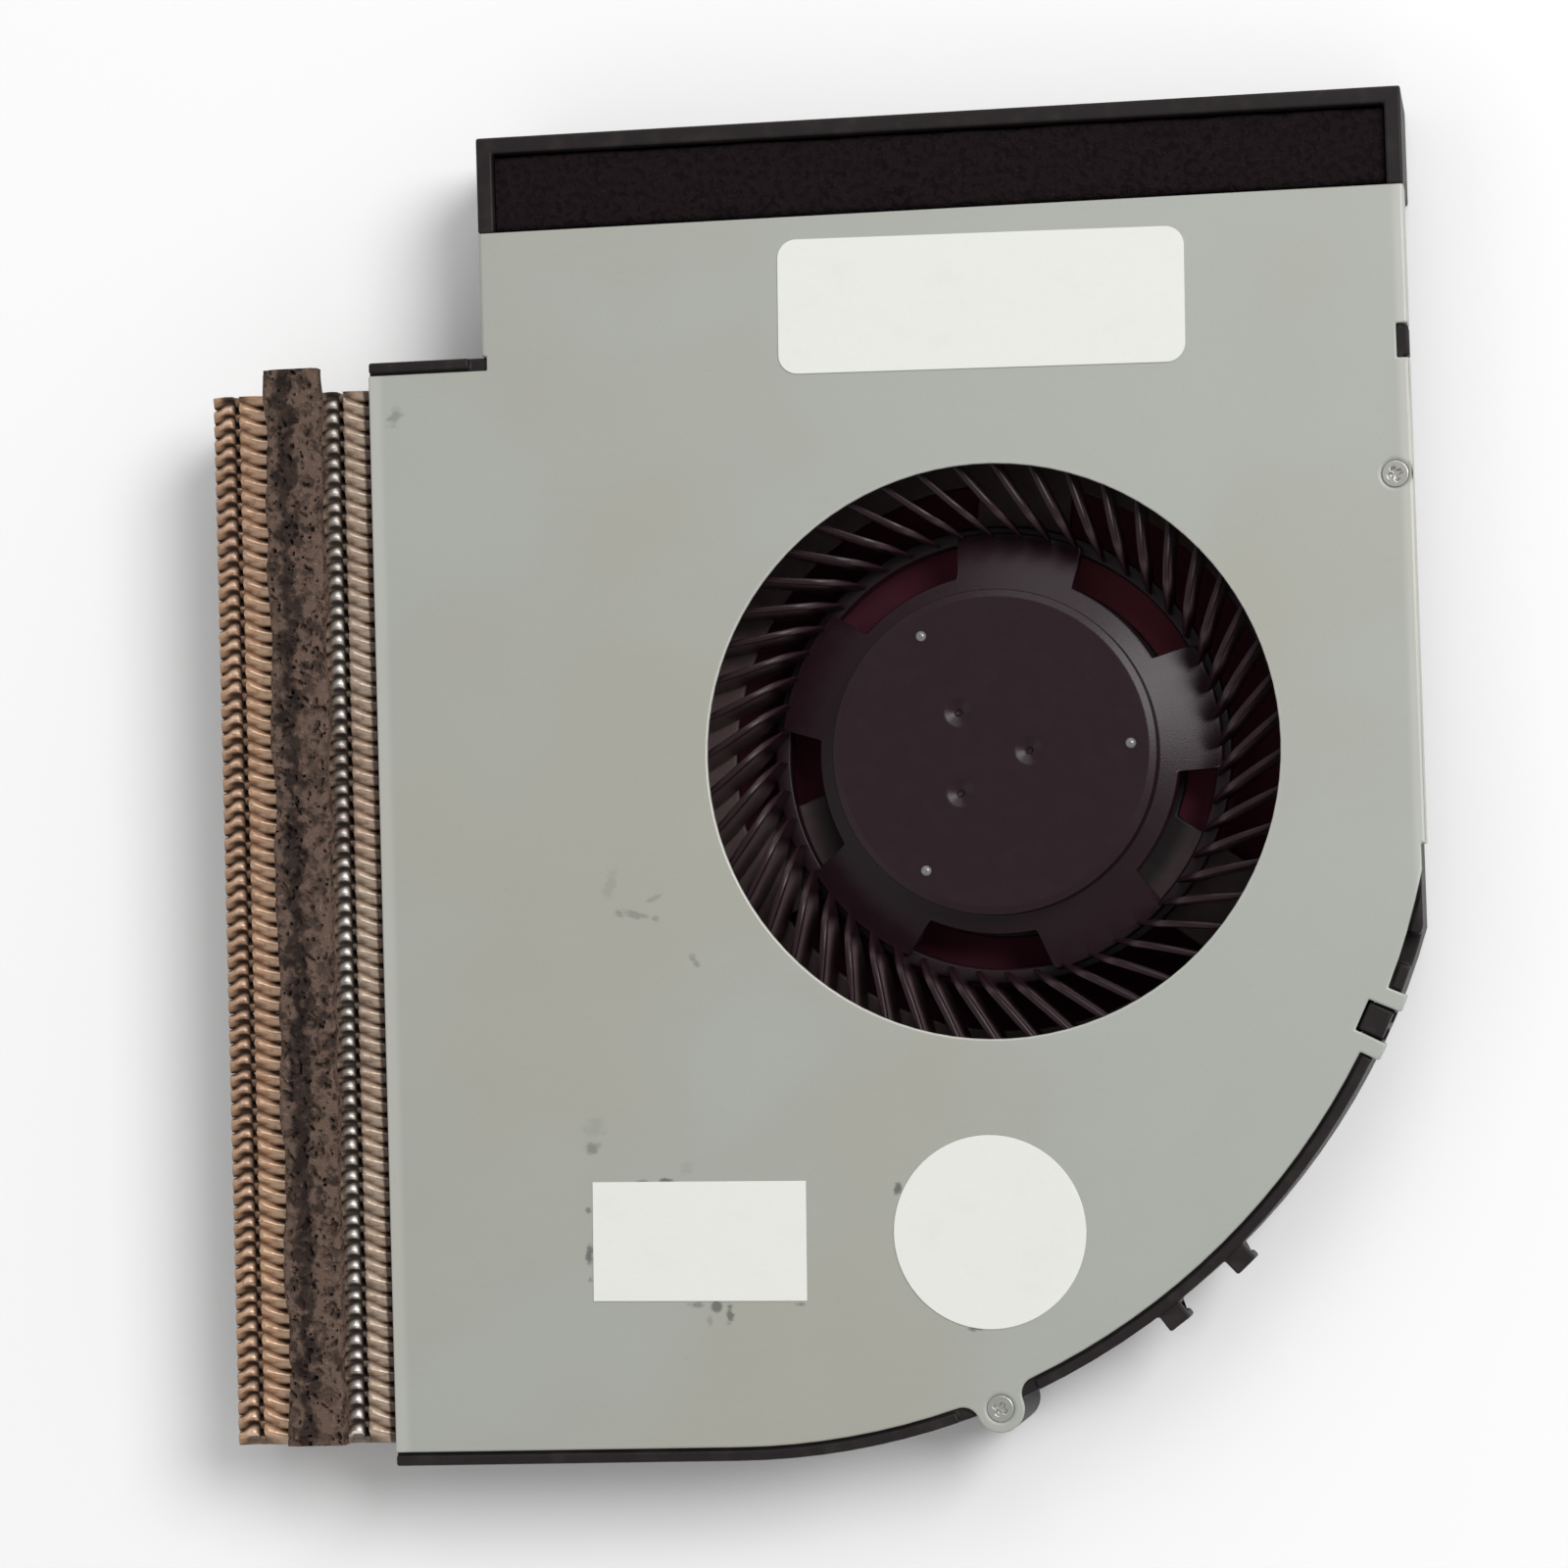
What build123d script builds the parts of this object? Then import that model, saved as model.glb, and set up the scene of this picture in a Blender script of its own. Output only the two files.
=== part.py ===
from build123d import *
import math
import os

# Laptop cooling fan with its fin stack. Millimetres. The origin is on the impeller's axis in the plane of
# the underside: +X points away from the fins, +Y to the foam seal and +Z to the cover.

# Case heights
CASE_HEIGHT = 11.0          # underside to the cover's outer face
FLOOR = 1.2                 # moulded floor
COVER_SHEET = 0.4           # steel of the cover

# Case plan
CUTOFF_GAP = 2.0            # impeller tip to the wall round it
SIDE_WALL = 1.6             # moulded wall behind a bent skirt
SKIRT_GAP = 0.05            # wall to the skirt bent over it
SKIRT_DEPTH = 2.6           # skirt below the cover's inner face
SEAT = 0.5                  # width of wall that the cover rests on along its curved edge
LIP_GAP = 0.2               # cover's edge to the lip round it
LIP = 0.8                   # lip outside the cover's edge
LIP_RISE = 0.3              # lip above the cover's seat
SCROLL_RADIUS = 52.0        # cover's curved edge
SCROLL_START = 10.8         # degrees below level where the curve leaves the straight edge
COVER_TOP = 39.7            # axis to the cover's rear edge
COVER_BOTTOM = 50.0         # axis to the cover's front edge
COVER_LEFT = 45.6           # axis to the cover's edge over the fins
STEP_X = 37.0               # axis to the cover's edge above the step
POCKET_START = 30.0         # degrees round the axis where the hollow behind the cut-off wall starts

# Air inlets
INLET_R = 20.9              # hole in the cover
WINDOW_MARGIN = 0.5         # inlet radius to the outer edge of the floor windows
SPOKE_COUNT = 3
SPOKE_WIDTH = 7.0
SPOKE_START = 84.0          # degrees, first floor spoke

# Foam trough along the rear edge
TROUGH_DEPTH = 7.1          # rear edge of the cover to the outside of the trough
TROUGH_RIM = 1.2
FOAM_SINK = 0.6             # foam below the trough's rim
FOAM_SIDE_GAP = 0.1

# Cover screws
EAR_ANGLE = -68.8           # degrees about the scroll's centre
EAR_REACH = 1.1             # screw centre outside the curved edge
EAR_R = 1.75
EAR_FLARE = 1.2             # hollow round between the ear and the edge
SIDE_SCREW_INSET = 1.3      # side screw inside the straight edge
SIDE_SCREW_Y = 18.8
SIDE_BOSS_R = 1.7
SCREW_R = 0.5
SCREW_LENGTH = 4.0
SCREW_HEAD_R = 0.95
SCREW_FIT = 0.02
DIMPLE_R = 1.3              # countersink in the cover, at its outer face
DIMPLE_HOLE_R = 0.7
HEAD_SINK = 0.05            # screw head below the cover's outer face

# Snap fit on the curved edge and catch on the straight edge
SNAP_ANGLE = -25.4
SNAP_TAB = 1.3
SNAP_NOTCH = 2.4
SNAP_DEPTH = 1.0            # notch into the cover's edge
SNAP_DROP = 2.4             # bent tab below the cover's inner face
SNAP_GAP = 0.15
CATCH_Y = 28.4
CATCH_WIDTH = 2.2
CATCH_DROP = 2.2
CATCH_NOTCH = 0.5

# Lead exit and lead hooks on the curved wall
LEAD_ANGLE = -19.2
LEAD_WIDTH = 2.4
LEAD_DEPTH = 2.4
HOOK_ANGLES = (-46.8, -53.5)
HOOK_WIDTH = 1.8
HOOK_REACH = 1.4
HOOK_DROP = 4.0
HOOK_SLOT = 0.8
HOOK_TOP = 1.2

# Fins
FIN_PITCH = 1.1
FIN_SHEET = 0.2
FIN_DEPTH = 14.0            # along the air's path
FIN_INSERT = 2.0            # under the cover's edge
FIN_END_GAP = 0.15          # stack to the walls at its ends
FIN_TOP_GAP = 0.05          # fins to the cover
FLANGE_GAP = 0.25           # folded flange to the next fin
STOP_WIDTH = 0.8            # floor rib behind the fins
STOP_HEIGHT = 0.8

# Foam strip on the fins
STRIP_OFFSET = 4.0          # from the outer edge of the fins
STRIP_WIDTH = 4.5
STRIP_THICKNESS = 1.3
STRIP_OVERHANG = 1.5        # past the rear end of the fins

# Labels
LABEL_SHEET = 0.1
BIG_LABEL = (29.8, 9.9)
BIG_LABEL_ROUND = 1.4
BIG_LABEL_AT = (0.2, 32.8)
SMALL_LABEL = (15.8, 8.7)
SMALL_LABEL_AT = (-22.5, -35.0)
ROUND_LABEL_R = 7.0
ROUND_LABEL_AT = (-1.2, -34.8)
LABEL_TURN = -1.0

# Impeller
IMPELLER_R = 27.0
BLADE_COUNT = 48
BLADE_SHEET = 0.5
BLADE_SWEEP = 20.1          # degrees from a blade's root to its tip
BLADE_SET = 0.3             # blades' inner ends outside the ring's inner face
COVER_CLEARANCE = 1.1       # blades to the cover's inner face
FLOOR_CLEARANCE = 1.0       # blades to the floor
RING_INNER = 15.8
RING_WIDTH = 1.2
RING_HEIGHT = 1.6
ARM_COUNT = 5
ARM_START = 11.0
ARM_WIDTH = 8.6
ARM_SHEET = 1.4
ARM_TOP_DROP = 2.4          # arm's top below the hub's top, at the hub
ARM_END_RISE = 1.0          # arm's top above the ring's top, at the ring
HUB_R = 11.65
HUB_WALL = 0.75
HUB_ROOF = 1.05
HUB_DROP = 0.1              # hub's top below the blades' tops
HUB_BEVEL = 0.8
HUB_LIFT = 0.6              # hub's rim above the circuit board

# Motor
SHAFT_R = 1.0
SHAFT_RUN = 0.015           # running clearance in the sleeve
SHAFT_BOSS_R = 2.2
SHAFT_BOSS = 1.0            # boss below the hub's roof
SHAFT_BITE = 0.5            # shaft into the hub's roof
SEAT_FIT = 0.03             # clearance of parts seated in each other
YOKE_SHEET = 0.5
YOKE_HOLE_GAP = 0.3         # hub's boss to the hole in the yoke
MAGNET_WALL = 1.3
MAGNET_SETBACK = 0.2        # magnet's ends inside the yoke
AIR_GAP = 0.4
TUBE_R = 3.0
TUBE_WALL = 0.6
TUBE_TOP_GAP = 0.4          # tube's mouth below the hub's boss
PAD_SHEET = 0.4
SLEEVE_GAP = 0.5            # oil space between the pad and the sleeve
COLLAR_WALL = 1.2           # collar round the tube that the core stands on
COLLAR_RISE = 2.4
BOARD_SHEET = 0.8
BOARD_EDGE = 0.25           # board's corners beyond the hub
BOARD_SIDES = 8
POLE_COUNT = 4
CORE_YOKE_SHARE = 0.285     # core round the tube at its thinnest, of the room from tube to magnet
CORE_ARM = 2.8
CORE_SHOE_SHARE = 0.357     # shoe's thickness at its middle, of the same room
CORE_SHOE_SPAN = 10.4
COIL_BUILD = 1.1            # winding over the core
COIL_GAP = 0.7              # windings to the yoke
COIL_END = 0.1
CHIP = (2.9, 1.6, 0.55)
CHIP_ANGLE = 45.0
CAPACITOR = (1.0, 0.5, 0.5)
CAPACITOR_ANGLES = (140.0, 225.0, 315.0)

# Heights worked out from the values above
SEAT_Z = CASE_HEIGHT - COVER_SHEET
BLADE_TOP = SEAT_Z - COVER_CLEARANCE
BLADE_BOTTOM = FLOOR + FLOOR_CLEARANCE
HUB_TOP = BLADE_TOP - HUB_DROP
YOKE_TOP = HUB_TOP - HUB_ROOF
YOKE_ROOF = YOKE_TOP - YOKE_SHEET
BOARD_TOP = FLOOR + BOARD_SHEET
HUB_BOTTOM = BOARD_TOP + HUB_LIFT
FIN_TOP = SEAT_Z - FIN_TOP_GAP
CORE_BOTTOM = FLOOR + COLLAR_RISE
COIL_TOP = YOKE_ROOF - COIL_GAP
CORE_TOP = COIL_TOP - COIL_BUILD
PAD_TOP = FLOOR + PAD_SHEET
SLEEVE_BOTTOM = PAD_TOP + SLEEVE_GAP
BOSS_BOTTOM = YOKE_TOP - SHAFT_BOSS
TUBE_TOP = BOSS_BOTTOM - TUBE_TOP_GAP

# Plan values worked out from the values above
CUTOFF_R = IMPELLER_R + CUTOFF_GAP
WALL_RIGHT = CUTOFF_R + SIDE_WALL
COVER_RIGHT = WALL_RIGHT + SKIRT_GAP + COVER_SHEET
WALL_LEFT = STEP_X - COVER_SHEET - SKIRT_GAP
STEP_Y = CUTOFF_R + SEAT
EDGE_OUT = LIP_GAP + LIP
SCROLL_X = COVER_RIGHT - SCROLL_RADIUS * math.cos(math.radians(SCROLL_START))
SCROLL_Y = SCROLL_RADIUS - COVER_BOTTOM
FIN_RIGHT = FIN_INSERT - COVER_LEFT
FIN_LEFT = FIN_RIGHT - FIN_DEPTH
FIN_START = SEAT - COVER_BOTTOM + FIN_END_GAP
FIN_SPAN = CUTOFF_R - FIN_END_GAP - FIN_START
FIN_COUNT = int(FIN_SPAN // FIN_PITCH)
FLANGE = FIN_PITCH - FLANGE_GAP
BLADE_INNER = RING_INNER + BLADE_SET
HUB_BORE = HUB_R - HUB_WALL
YOKE_R = HUB_BORE - SEAT_FIT
MAGNET_R = YOKE_R - YOKE_SHEET - SEAT_FIT
MAGNET_BORE = MAGNET_R - MAGNET_WALL
CORE_R = MAGNET_BORE - AIR_GAP
CORE_BORE = TUBE_R + SEAT_FIT
CORE_ROOM = CORE_R - CORE_BORE
CORE_SHOE = CORE_SHOE_SHARE * CORE_ROOM
CORE_HALF = CORE_BORE + CORE_YOKE_SHARE * CORE_ROOM
SHOE_X = CORE_R - CORE_SHOE
TUBE_BORE = TUBE_R - TUBE_WALL
COLLAR_R = TUBE_R + COLLAR_WALL
BOARD_R = HUB_R + BOARD_EDGE
WINDOW_INNER = BOARD_R + SIDE_WALL
WINDOW_OUTER = INLET_R - WINDOW_MARGIN
CHIP_AT = (COLLAR_R + MAGNET_BORE) / 2
PAST = 1.0                  # overshoot of cutting shapes


def about_scroll(radius, angle):
    """Point at a radius and an angle in degrees about the centre of the curved edge."""
    turn = math.radians(angle)
    return (SCROLL_X + radius * math.cos(turn), SCROLL_Y + radius * math.sin(turn))


def prism(face, bottom, top):
    """Solid over a plan face between two heights."""
    return extrude(Pos(0, 0, bottom) * face, amount=top - bottom)


def slab(low, high):
    """Box between two corners."""
    size = [b - a for a, b in zip(low, high)]
    middle = [(a + b) / 2 for a, b in zip(low, high)]
    return Pos(*middle) * Box(*size)


def ring(outer, inner, bottom, top):
    """Tube on the impeller's axis."""
    return prism(Circle(outer) - Circle(inner), bottom, top)


def post(at, radius, bottom, top):
    """Upright cylinder at a plan point."""
    return prism(Pos(*at) * Circle(radius), bottom, top)


def edge_block(angle, width, inner, outer, bottom, top):
    """Block across the curved wall, square to it, between two radii."""
    face = Pos((inner + outer) / 2, 0) * Rectangle(outer - inner, width)
    return prism(Pos(SCROLL_X, SCROLL_Y) * Rot(0, 0, angle) * face, bottom, top)


def around(shape, count, start=0.0):
    """Copies of a shape turned evenly about the impeller's axis."""
    return [Rot(0, 0, start + 360.0 * i / count) * shape for i in range(count)]


def plan(right, top, step_x, left, out):
    """Outline of the case: the curved, front and step edges stand outside the cover's edge by out."""
    radius = SCROLL_RADIUS + out
    start_y = SCROLL_Y - math.sqrt(radius ** 2 - (right - SCROLL_X) ** 2)
    start_angle = math.degrees(math.atan2(start_y - SCROLL_Y, right - SCROLL_X))
    front = SCROLL_Y - radius
    step_y = STEP_Y + out
    curve = ThreePointArc((right, start_y), about_scroll(radius, (start_angle - 90) / 2), (SCROLL_X, front))
    straight = Polyline(
        (SCROLL_X, front), (-left, front), (-left, step_y), (-step_x, step_y),
        (-step_x, top), (right, top), (right, start_y),
    )
    return make_face(curve.edges() + straight.edges())


def ear_at():
    """Plan point of the ear's screw."""
    return about_scroll(SCROLL_RADIUS + EAR_REACH, EAR_ANGLE)


def side_screw_at():
    """Plan point of the screw beside the straight edge."""
    return (COVER_RIGHT - SIDE_SCREW_INSET, SIDE_SCREW_Y)


def screw_points():
    """Plan points of the cover's screws."""
    return (side_screw_at(), ear_at())


def chamber():
    """Plan of the space that the impeller blows round, open towards the fins."""
    radius = SCROLL_RADIUS - SEAT
    start_y = SCROLL_Y - math.sqrt(radius ** 2 - (CUTOFF_R - SCROLL_X) ** 2)
    start_angle = math.degrees(math.atan2(start_y - SCROLL_Y, CUTOFF_R - SCROLL_X))
    front = SCROLL_Y - radius
    outlet = -COVER_LEFT - PAST
    scroll = ThreePointArc((CUTOFF_R, start_y), about_scroll(radius, (start_angle - 90) / 2), (SCROLL_X, front))
    mouth = Polyline((SCROLL_X, front), (outlet, front), (outlet, CUTOFF_R), (0, CUTOFF_R))
    cutoff = CenterArc((0, 0), CUTOFF_R, 0, 90)
    side = Line((CUTOFF_R, 0), (CUTOFF_R, start_y))
    return make_face(scroll.edges() + mouth.edges() + cutoff.edges() + side.edges())


def pocket():
    """Plan of the hollow between the cut-off wall and the rear wall."""
    radius = CUTOFF_R + SIDE_WALL
    turn = math.radians(POCKET_START)
    low = (radius * math.cos(turn), radius * math.sin(turn))
    left = SIDE_WALL - WALL_LEFT
    rear = COVER_TOP - SIDE_WALL
    back = CenterArc((0, 0), radius, POCKET_START, 90 - POCKET_START)
    sides = Polyline((0, radius), (left, radius), (left, rear), (CUTOFF_R, rear), (CUTOFF_R, low[1]), low)
    return make_face(back.edges() + sides.edges())


def windows():
    """Plan of the air windows in the floor, between the spokes that carry the motor."""
    spoke = Pos(WINDOW_OUTER / 2, 0) * Rectangle(WINDOW_OUTER + PAST, SPOKE_WIDTH)
    face = Circle(WINDOW_OUTER) - Circle(WINDOW_INNER)
    for arm in around(spoke, SPOKE_COUNT, SPOKE_START):
        face -= arm
    return face


def lead_hook(angle):
    """Hook on the outside of the curved wall with a slot that opens downwards."""
    wall = SCROLL_RADIUS + EDGE_OUT
    bottom = SEAT_Z - HOOK_DROP
    body = edge_block(angle, HOOK_WIDTH, SCROLL_RADIUS, wall + HOOK_REACH, bottom, SEAT_Z)
    slot = edge_block(angle, HOOK_WIDTH + PAST, wall, wall + HOOK_SLOT, bottom - PAST, SEAT_Z - HOOK_TOP)
    return body - slot


def foam_trough():
    """Open trough behind the rear wall."""
    rear = COVER_TOP + TROUGH_DEPTH
    block = slab((-STEP_X, COVER_TOP, 0), (COVER_RIGHT, rear, CASE_HEIGHT))
    low = (TROUGH_RIM - STEP_X, COVER_TOP, FLOOR)
    high = (COVER_RIGHT - TROUGH_RIM, rear - TROUGH_RIM, CASE_HEIGHT + PAST)
    return block - slab(low, high)


def edge_lip():
    """Lip that stands round the cover's curved, front and step edges, cut away at the ear and the snap."""
    inside = plan(COVER_RIGHT + PAST, COVER_TOP + PAST, STEP_X + PAST, COVER_LEFT + PAST, LIP_GAP)
    lip = prism(case_plan() - inside, SEAT_Z, SEAT_Z + LIP_RISE)
    ear_room = 2 * (EAR_R + EAR_FLARE + SNAP_GAP)
    snap_room = SNAP_NOTCH + 2 * (SNAP_TAB + SNAP_GAP)
    outer = SCROLL_RADIUS + EDGE_OUT + PAST
    top = SEAT_Z + LIP_RISE + PAST
    lip -= edge_block(EAR_ANGLE, ear_room, SCROLL_RADIUS, outer, SEAT_Z, top)
    lip -= edge_block(SNAP_ANGLE, snap_room, SCROLL_RADIUS, outer, SEAT_Z, top)
    return lip


def case_plan():
    """Outline of the moulded case without its trough."""
    return plan(WALL_RIGHT, COVER_TOP, WALL_LEFT, COVER_LEFT, EDGE_OUT)


def base_housing():
    """Moulded tray that carries everything else."""
    shell = prism(case_plan(), 0, SEAT_Z)
    body = shell - prism(chamber(), FLOOR, SEAT_Z) - prism(pocket(), FLOOR, SEAT_Z)
    body -= prism(windows(), -PAST, FLOOR + PAST)
    body += foam_trough()
    body += edge_lip()
    body += post(ear_at(), EAR_R, 0, SEAT_Z)
    body += post(side_screw_at(), SIDE_BOSS_R, 0, SEAT_Z) & shell
    body += bearing_tube()
    front = SEAT - COVER_BOTTOM
    stop_at = FIN_RIGHT + FIN_END_GAP
    body += slab((stop_at, front, FLOOR), (stop_at + STOP_WIDTH, CUTOFF_R, FLOOR + STOP_HEIGHT))
    for angle in HOOK_ANGLES:
        body += lead_hook(angle)
    notch_bottom = SCROLL_RADIUS - SNAP_DEPTH + SNAP_GAP
    catch_width = SNAP_NOTCH - 2 * SNAP_GAP
    wall = SCROLL_RADIUS + EDGE_OUT
    body += edge_block(SNAP_ANGLE, catch_width, notch_bottom, wall, SEAT_Z - SNAP_DROP, SEAT_Z + LIP_RISE)
    low = (WALL_RIGHT - SIDE_WALL / 2, CATCH_Y - CATCH_WIDTH / 2, SEAT_Z - CATCH_DROP)
    high = (COVER_RIGHT, CATCH_Y + CATCH_WIDTH / 2, SEAT_Z)
    body += slab(low, high)
    inner = SCROLL_RADIUS - SEAT - PAST
    lead_top = SEAT_Z + LIP_RISE + PAST
    body -= edge_block(LEAD_ANGLE, LEAD_WIDTH, inner, wall + PAST, SEAT_Z - LEAD_DEPTH, lead_top)
    for at in screw_points():
        body -= post(at, SCREW_R + SCREW_FIT, SEAT_Z - SCREW_LENGTH, SEAT_Z + PAST)
    return body


def bearing_tube():
    """Moulded tube for the bearing, closed by the floor, with a collar that the core stands on."""
    tube = post((0, 0), TUBE_R, FLOOR, TUBE_TOP) + post((0, 0), COLLAR_R, FLOOR, CORE_BOTTOM)
    return tube - post((0, 0), TUBE_BORE, FLOOR, TUBE_TOP)


def ear_face():
    """Screw ear with hollow rounds where it meets the curved edge."""
    centre = SCROLL_RADIUS + EAR_REACH
    flare_at = SCROLL_RADIUS + EAR_FLARE
    reach = EAR_R + EAR_FLARE
    cosine = (centre ** 2 + flare_at ** 2 - reach ** 2) / (2 * centre * flare_at)
    spread = math.degrees(math.acos(cosine))
    web = Polyline(
        about_scroll(SCROLL_RADIUS - SEAT, EAR_ANGLE), about_scroll(SCROLL_RADIUS, EAR_ANGLE - spread),
        about_scroll(flare_at, EAR_ANGLE - spread), ear_at(),
        about_scroll(flare_at, EAR_ANGLE + spread), about_scroll(SCROLL_RADIUS, EAR_ANGLE + spread),
        about_scroll(SCROLL_RADIUS - SEAT, EAR_ANGLE),
    )
    face = make_face(web.edges())
    for side in (-spread, spread):
        face -= Pos(*about_scroll(flare_at, EAR_ANGLE + side)) * Circle(EAR_FLARE)
    return face + Pos(*ear_at()) * Circle(EAR_R)


def snap_tab(angle):
    """Tab of the cover bent down outside the curved wall."""
    face_in = SCROLL_RADIUS + EDGE_OUT + SKIRT_GAP
    face_out = face_in + COVER_SHEET
    flat = edge_block(angle, SNAP_TAB, SCROLL_RADIUS - SEAT, face_out, SEAT_Z, CASE_HEIGHT)
    drop = edge_block(angle, SNAP_TAB, face_in, face_out, SEAT_Z - SNAP_DROP, CASE_HEIGHT)
    return flat + drop


def cover_skirt(outer, inner, low_y):
    """Strip bent down along a straight edge of the cover, with its outer corner rounded."""
    low = (min(outer, inner), low_y, SEAT_Z - SKIRT_DEPTH)
    high = (max(outer, inner), COVER_TOP, CASE_HEIGHT)
    strip = slab(low, high)
    top_edges = strip.edges().filter_by(Axis.Y).group_by(Axis.Z)[-1].sort_by(Axis.X)
    corner = top_edges[-1] if outer > inner else top_edges[0]
    return fillet(corner, COVER_SHEET * 0.75)


def cover_plate():
    """Stamped steel cover with the air inlet, two bent skirts, the screw ear and the snap tabs."""
    right_start = SCROLL_Y - SCROLL_RADIUS * math.sin(math.radians(SCROLL_START))
    flat = plan(COVER_RIGHT - COVER_SHEET, COVER_TOP, STEP_X - COVER_SHEET, COVER_LEFT, 0) + ear_face()
    flat -= Circle(INLET_R)
    body = prism(flat, SEAT_Z, CASE_HEIGHT)
    body += cover_skirt(COVER_RIGHT, COVER_RIGHT - COVER_SHEET, right_start)
    body += cover_skirt(-STEP_X, COVER_SHEET - STEP_X, STEP_Y + EDGE_OUT + SKIRT_GAP)
    notch = (COVER_RIGHT - COVER_SHEET - CATCH_NOTCH, CATCH_Y - CATCH_WIDTH / 2 - SNAP_GAP, 0)
    body -= slab(notch, (COVER_RIGHT + PAST, CATCH_Y + CATCH_WIDTH / 2 + SNAP_GAP, CASE_HEIGHT + PAST))
    edge = SCROLL_RADIUS + PAST
    body -= edge_block(SNAP_ANGLE, SNAP_NOTCH, SCROLL_RADIUS - SNAP_DEPTH, edge, 0, CASE_HEIGHT + PAST)
    side = math.degrees((SNAP_NOTCH + SNAP_TAB) / 2 / SCROLL_RADIUS)
    for angle in (SNAP_ANGLE - side, SNAP_ANGLE + side):
        body += snap_tab(angle)
    for at in screw_points():
        body -= Pos(at[0], at[1], (SEAT_Z + CASE_HEIGHT) / 2) * Cone(DIMPLE_HOLE_R, DIMPLE_R, COVER_SHEET)
    return body


def cover_screws():
    """Countersunk screws that hold the cover, one solid each."""
    head_top = CASE_HEIGHT - HEAD_SINK
    head = Pos(0, 0, (SEAT_Z + head_top) / 2) * Cone(SCREW_R, SCREW_HEAD_R, head_top - SEAT_Z)
    screw = head + post((0, 0), SCREW_R, SEAT_Z - SCREW_LENGTH + SCREW_FIT, SEAT_Z)
    return [Pos(x, y, 0) * screw for x, y in screw_points()]


def fin_stack():
    """Fins side by side across the outlet, one solid each: a sheet that stands on the floor's edge and is
    folded over at its top, and outside the case at its bottom too, where a heat pipe lies."""
    fin = slab((FIN_LEFT, 0, FLOOR), (FIN_RIGHT, FIN_SHEET, FIN_TOP))
    fin += slab((FIN_LEFT, 0, FIN_TOP - FIN_SHEET), (FIN_RIGHT, FLANGE, FIN_TOP))
    fin += slab((FIN_LEFT, 0, FLOOR - FIN_SHEET), (-COVER_LEFT - FIN_END_GAP, FLANGE, FLOOR))
    return [Pos(0, FIN_START + i * FIN_PITCH, 0) * fin for i in range(FIN_COUNT)]


def fin_foam_strip():
    """Foam strip along the fins, past their rear end."""
    left = FIN_LEFT + STRIP_OFFSET
    low = (left, FIN_START, FIN_TOP)
    high = (left + STRIP_WIDTH, FIN_START + FIN_COUNT * FIN_PITCH + STRIP_OVERHANG, FIN_TOP + STRIP_THICKNESS)
    return slab(low, high)


def rear_foam_seal():
    """Foam block in the rear trough."""
    inset = TROUGH_RIM + FOAM_SIDE_GAP
    low = (inset - STEP_X, COVER_TOP + FOAM_SIDE_GAP, FLOOR)
    high = (COVER_RIGHT - inset, COVER_TOP + TROUGH_DEPTH - inset, CASE_HEIGHT - FOAM_SINK)
    return slab(low, high)


def label(face, at):
    """Paper label stuck on the cover."""
    return prism(Pos(*at) * Rot(0, 0, LABEL_TURN) * face, CASE_HEIGHT, CASE_HEIGHT + LABEL_SHEET)


def impeller_blade():
    """One blade: a thin straight sheet that leans back as it goes outwards."""
    root = Vector(BLADE_INNER, 0)
    tip = Vector(IMPELLER_R, 0).rotate(Axis.Z, BLADE_SWEEP)
    run = tip - root
    lean = math.degrees(math.atan2(run.Y, run.X))
    sheet = Rot(0, 0, lean) * Rectangle(run.length, BLADE_SHEET, align=(Align.MIN, Align.CENTER))
    return prism(Pos(BLADE_INNER, 0) * sheet, BLADE_BOTTOM, BLADE_TOP)


def impeller_arm():
    """Sloping arm from the hub down to the blade ring."""
    top = HUB_TOP - ARM_TOP_DROP
    end_top = BLADE_BOTTOM + RING_HEIGHT + ARM_END_RISE
    outer = RING_INNER + RING_WIDTH / 2
    side = Polyline(
        (HUB_BORE - PAST, top), (outer, end_top), (outer, end_top - ARM_SHEET),
        (HUB_BORE - PAST, top - ARM_SHEET), close=True,
    )
    return extrude(Plane.XZ * make_face(side.edges()), amount=ARM_WIDTH / 2, both=True)


def impeller():
    """Moulded impeller: hub, arms, ring and blades in one piece."""
    hub = post((0, 0), HUB_R, HUB_BOTTOM, HUB_TOP)
    hub = chamfer(hub.edges().group_by(Axis.Z)[-1], HUB_BEVEL)
    body = hub + ring(RING_INNER + RING_WIDTH, RING_INNER, BLADE_BOTTOM, BLADE_BOTTOM + RING_HEIGHT)
    body += around(impeller_arm(), ARM_COUNT, ARM_START)
    body += around(impeller_blade(), BLADE_COUNT)
    body -= post((0, 0), HUB_BORE, 0, YOKE_TOP)
    body += post((0, 0), SHAFT_BOSS_R, BOSS_BOTTOM, YOKE_TOP)
    body -= post((0, 0), SHAFT_R, 0, YOKE_TOP + SHAFT_BITE)
    return body


def rotor_yoke():
    """Steel cup in the hub."""
    cup = ring(YOKE_R, YOKE_R - YOKE_SHEET, HUB_BOTTOM, YOKE_TOP)
    return cup + ring(YOKE_R, SHAFT_BOSS_R + YOKE_HOLE_GAP, YOKE_ROOF, YOKE_TOP)


def magnet_ring():
    """Ring magnet in the yoke."""
    return ring(MAGNET_R, MAGNET_BORE, HUB_BOTTOM + MAGNET_SETBACK, YOKE_ROOF - MAGNET_SETBACK)


def shaft():
    """Steel shaft moulded into the hub, standing on the thrust pad."""
    return post((0, 0), SHAFT_R, PAD_TOP, YOKE_TOP + SHAFT_BITE)


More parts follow.
